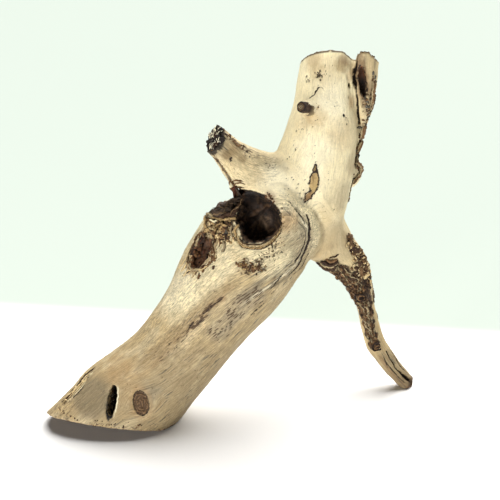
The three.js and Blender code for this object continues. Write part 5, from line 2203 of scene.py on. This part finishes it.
def foot_splinters(under):
    """Long splinters that lift along the foot's upper edge, down to its tip."""
    scraps = Scraps(under)
    for path, width, paint, lift in (
        ([[-129, -3, 50.6], [-136, -4.2, 43.6], [-145, -4.2, 34.3], [-154.5, -4.0, 25]],
         0.6, TAN, (0.3, 1.0, 0.9, 0.4)),
        ([[-129.5, -4, 49.4], [-137, -5.4, 42], [-146, -5.6, 32.6], [-155.5, -5.2, 23.2]],
         0.5, UMBER, (0.2, 0.6, 0.6, 0.2)),
        ([[-130, -5, 48.2], [-138, -6.6, 40.4], [-147, -7, 31], [-155, -6.5, 23.6]],
         0.6, SAND, (0.3, 0.9, 0.8, 0.3)),
        ([[-131, -6, 46.8], [-138, -7.8, 39.5], [-147, -8.6, 30], [-152, -8, 24.6]],
         0.4, UMBER, (0.2, 0.5, 0.2)),
        ([[-131.5, -6.8, 46], [-138, -8.9, 38.9], [-146.5, -9.8, 29.8]], 0.6, TAN, (0.3, 0.8, 0.3)),
        ([[-127, 0, 53.2], [-134, 0, 47], [-141, 0, 40.5]], 0.5, TAN, 0.5),
        ([[-128, -1, 52], [-135, -1.6, 45.4], [-143, -1.6, 37.4]], 0.4, UMBER, 0.3),
    ):
        scraps.strip(path, width, 0.55, paint, lift, rough=0.18)
    scraps.crumble(
        [[-157, -9, 19.8], [-150, -15, 17.6], [-140, -20, 16.5]],
        0.8, 34, 0.5, (UMBER, BARK, SAND), flat=0.5
    )
    scraps.crumble(
        [[-126, -25, 15], [-105, -26, 13], [-88, -25.8, 12]], 2.0, 46, 0.42, (UMBER, BARK, UMBER), flat=0.5
    )
    slit = [[-112, -12, 42], [-111, -12, 32], [-110, -12, 23]]
    scraps.crumble(slit, 1.6, 34, 0.7, (GREY * 0.6, BARK * 0.6, UMBER, GREY * 1.3), flat=0.5)
    scraps.piece("foot_splinters", "trunk_wood", wood_material("splinters", 0.1, 0.25, 0.7, 0.8))


def dress_scraps(mesh):
    faces = [face.vertices[:] for face in mesh.polygons]
    under = BVHTree.FromPolygons(points_of(mesh).tolist(), faces)
    for work in (hole_crust, pocket_crust, stub_fibres, twig_peg, limb_bark, root_bark, foot_splinters):
        work(under)


def dress_wood():
    whole = carved(joined_wood())
    dress_scraps(whole)
    meshes = parted(whole)
    for name, mesh in meshes.items():
        piece = placed(name + "_wood", mesh)
        smooth_shaded(mesh)
        mesh.materials.append(WOODS[name]())
        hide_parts(name)
        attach(piece, "root")


# The photograph's viewpoint, in metres in the frame, and its tilt from straight down
CAMERA_PLACE = (0.01133, -0.70565, 0.3725)
CAMERA_TILT = 72
CAMERA_LENS = 64.8
SENSOR_WIDTH = 36


def camera():
    made = placed("camera", bpy.data.cameras.new("camera"))
    made.location = CAMERA_PLACE
    made.rotation_euler = (math.radians(CAMERA_TILT), 0, 0)
    made.data.lens = CAMERA_LENS
    made.data.sensor_width = SENSOR_WIDTH
    bpy.context.scene.camera = made
    bpy.context.scene.view_settings.view_transform = "Standard"


SOFTBOX_PLACE = Vector((-0.8, -1.3, 0.11))
SOFTBOX_TARGET = Vector((0, 0, 0.17))
SOFTBOX_WIDTH = 0.35
SOFTBOX_WATTS = 18


def softbox():
    """A round softbox, low on the left in front of the wood."""
    lamp = placed("front", bpy.data.lights.new("front", "AREA"))
    lamp.data.shape = "DISK"
    lamp.data.size = SOFTBOX_WIDTH
    lamp.data.energy = SOFTBOX_WATTS
    lamp.data.color = (1, 0.98, 0.95)
    lamp.location = SOFTBOX_PLACE
    lamp.rotation_euler = (SOFTBOX_TARGET - SOFTBOX_PLACE).to_track_quat("-Z", "Y").to_euler()


# The soft light from above and behind: where it comes from, its strength and how many degrees wide it is
OVERHEAD_FROM = Vector((0.34, 0.56, 1))
OVERHEAD_STRENGTH = 6.3
OVERHEAD_SPREAD = 62
ROOM_STRENGTH = 0.03


def overhead():
    sun = placed("overhead", bpy.data.lights.new("overhead", "SUN"))
    sun.data.energy = OVERHEAD_STRENGTH
    sun.data.angle = math.radians(OVERHEAD_SPREAD)
    sun.data.color = (1, 0.985, 0.96)
    sun.rotation_euler = OVERHEAD_FROM.to_track_quat("Z", "Y").to_euler()


def room():
    """The faint light that a white room sends from all sides."""
    world = bpy.data.worlds.new("studio")
    world.use_nodes = True
    sky = world.node_tree.nodes["Background"]
    sky.inputs["Color"].default_value = (0.97, 0.99, 1.0, 1)
    sky.inputs["Strength"].default_value = ROOM_STRENGTH
    bpy.context.scene.world = world


FLOOR_REACH = 30
# The floor is white near the wood and pale mint past a seam behind it, this many metres back
FLOOR_SEAM = 0.205
SEAM_SOFTNESS = (-0.03, 0.012)
# How far the seam comes forward for each metre to the right
SEAM_SLANT = 0.15
FLOOR_NEAR = (0.9, 0.9, 0.895)
FLOOR_FAR = (0.508, 0.574, 0.522)


def floor():
    mesh = bpy.data.meshes.new("floor")
    corners = [(x * FLOOR_REACH, y * FLOOR_REACH, 0) for x, y in ((-1, -1), (1, -1), (1, 1), (-1, 1))]
    mesh.from_pydata(corners, [], [(0, 1, 2, 3)])
    sheet = placed("floor", mesh)
    paper = Looks("floor_paper")
    across, back, _ = paper.node("SeparateXYZ", {0: paper.place()}).outputs
    back = paper.plus(back, paper.times(across, SEAM_SLANT))
    share = paper.ramped(back, *(FLOOR_SEAM + soft for soft in SEAM_SOFTNESS))
    paper.give(Base_Color=paper.blended(share, FLOOR_NEAR, FLOOR_FAR))
    paper.give(Roughness=0.95, Specular_IOR_Level=0.1)
    mesh.materials.append(paper.material)


BACKDROP_REACH = 12
BACKDROP_TINT = (0.84, 0.92, 0.86, 1)


def backdrop():
    """A pale dome behind the floor's far edge, which lights nothing and casts no shadow."""
    work = bmesh.new()
    bmesh.ops.create_icosphere(work, subdivisions=4, radius=BACKDROP_REACH)
    mesh = bpy.data.meshes.new("backdrop")
    work.to_mesh(mesh)
    work.free()
    dome = placed("backdrop", mesh)
    dome.visible_diffuse = False
    dome.visible_glossy = False
    dome.visible_shadow = False
    paper = Looks("backdrop_paper")
    paper.give(Base_Color=(0, 0, 0, 1), Specular_IOR_Level=0.0)
    paper.give(Emission_Color=BACKDROP_TINT, Emission_Strength=1.0)
    mesh.materials.append(paper.material)


camera()
softbox()
overhead()
room()
floor()
backdrop()
dress_wood()
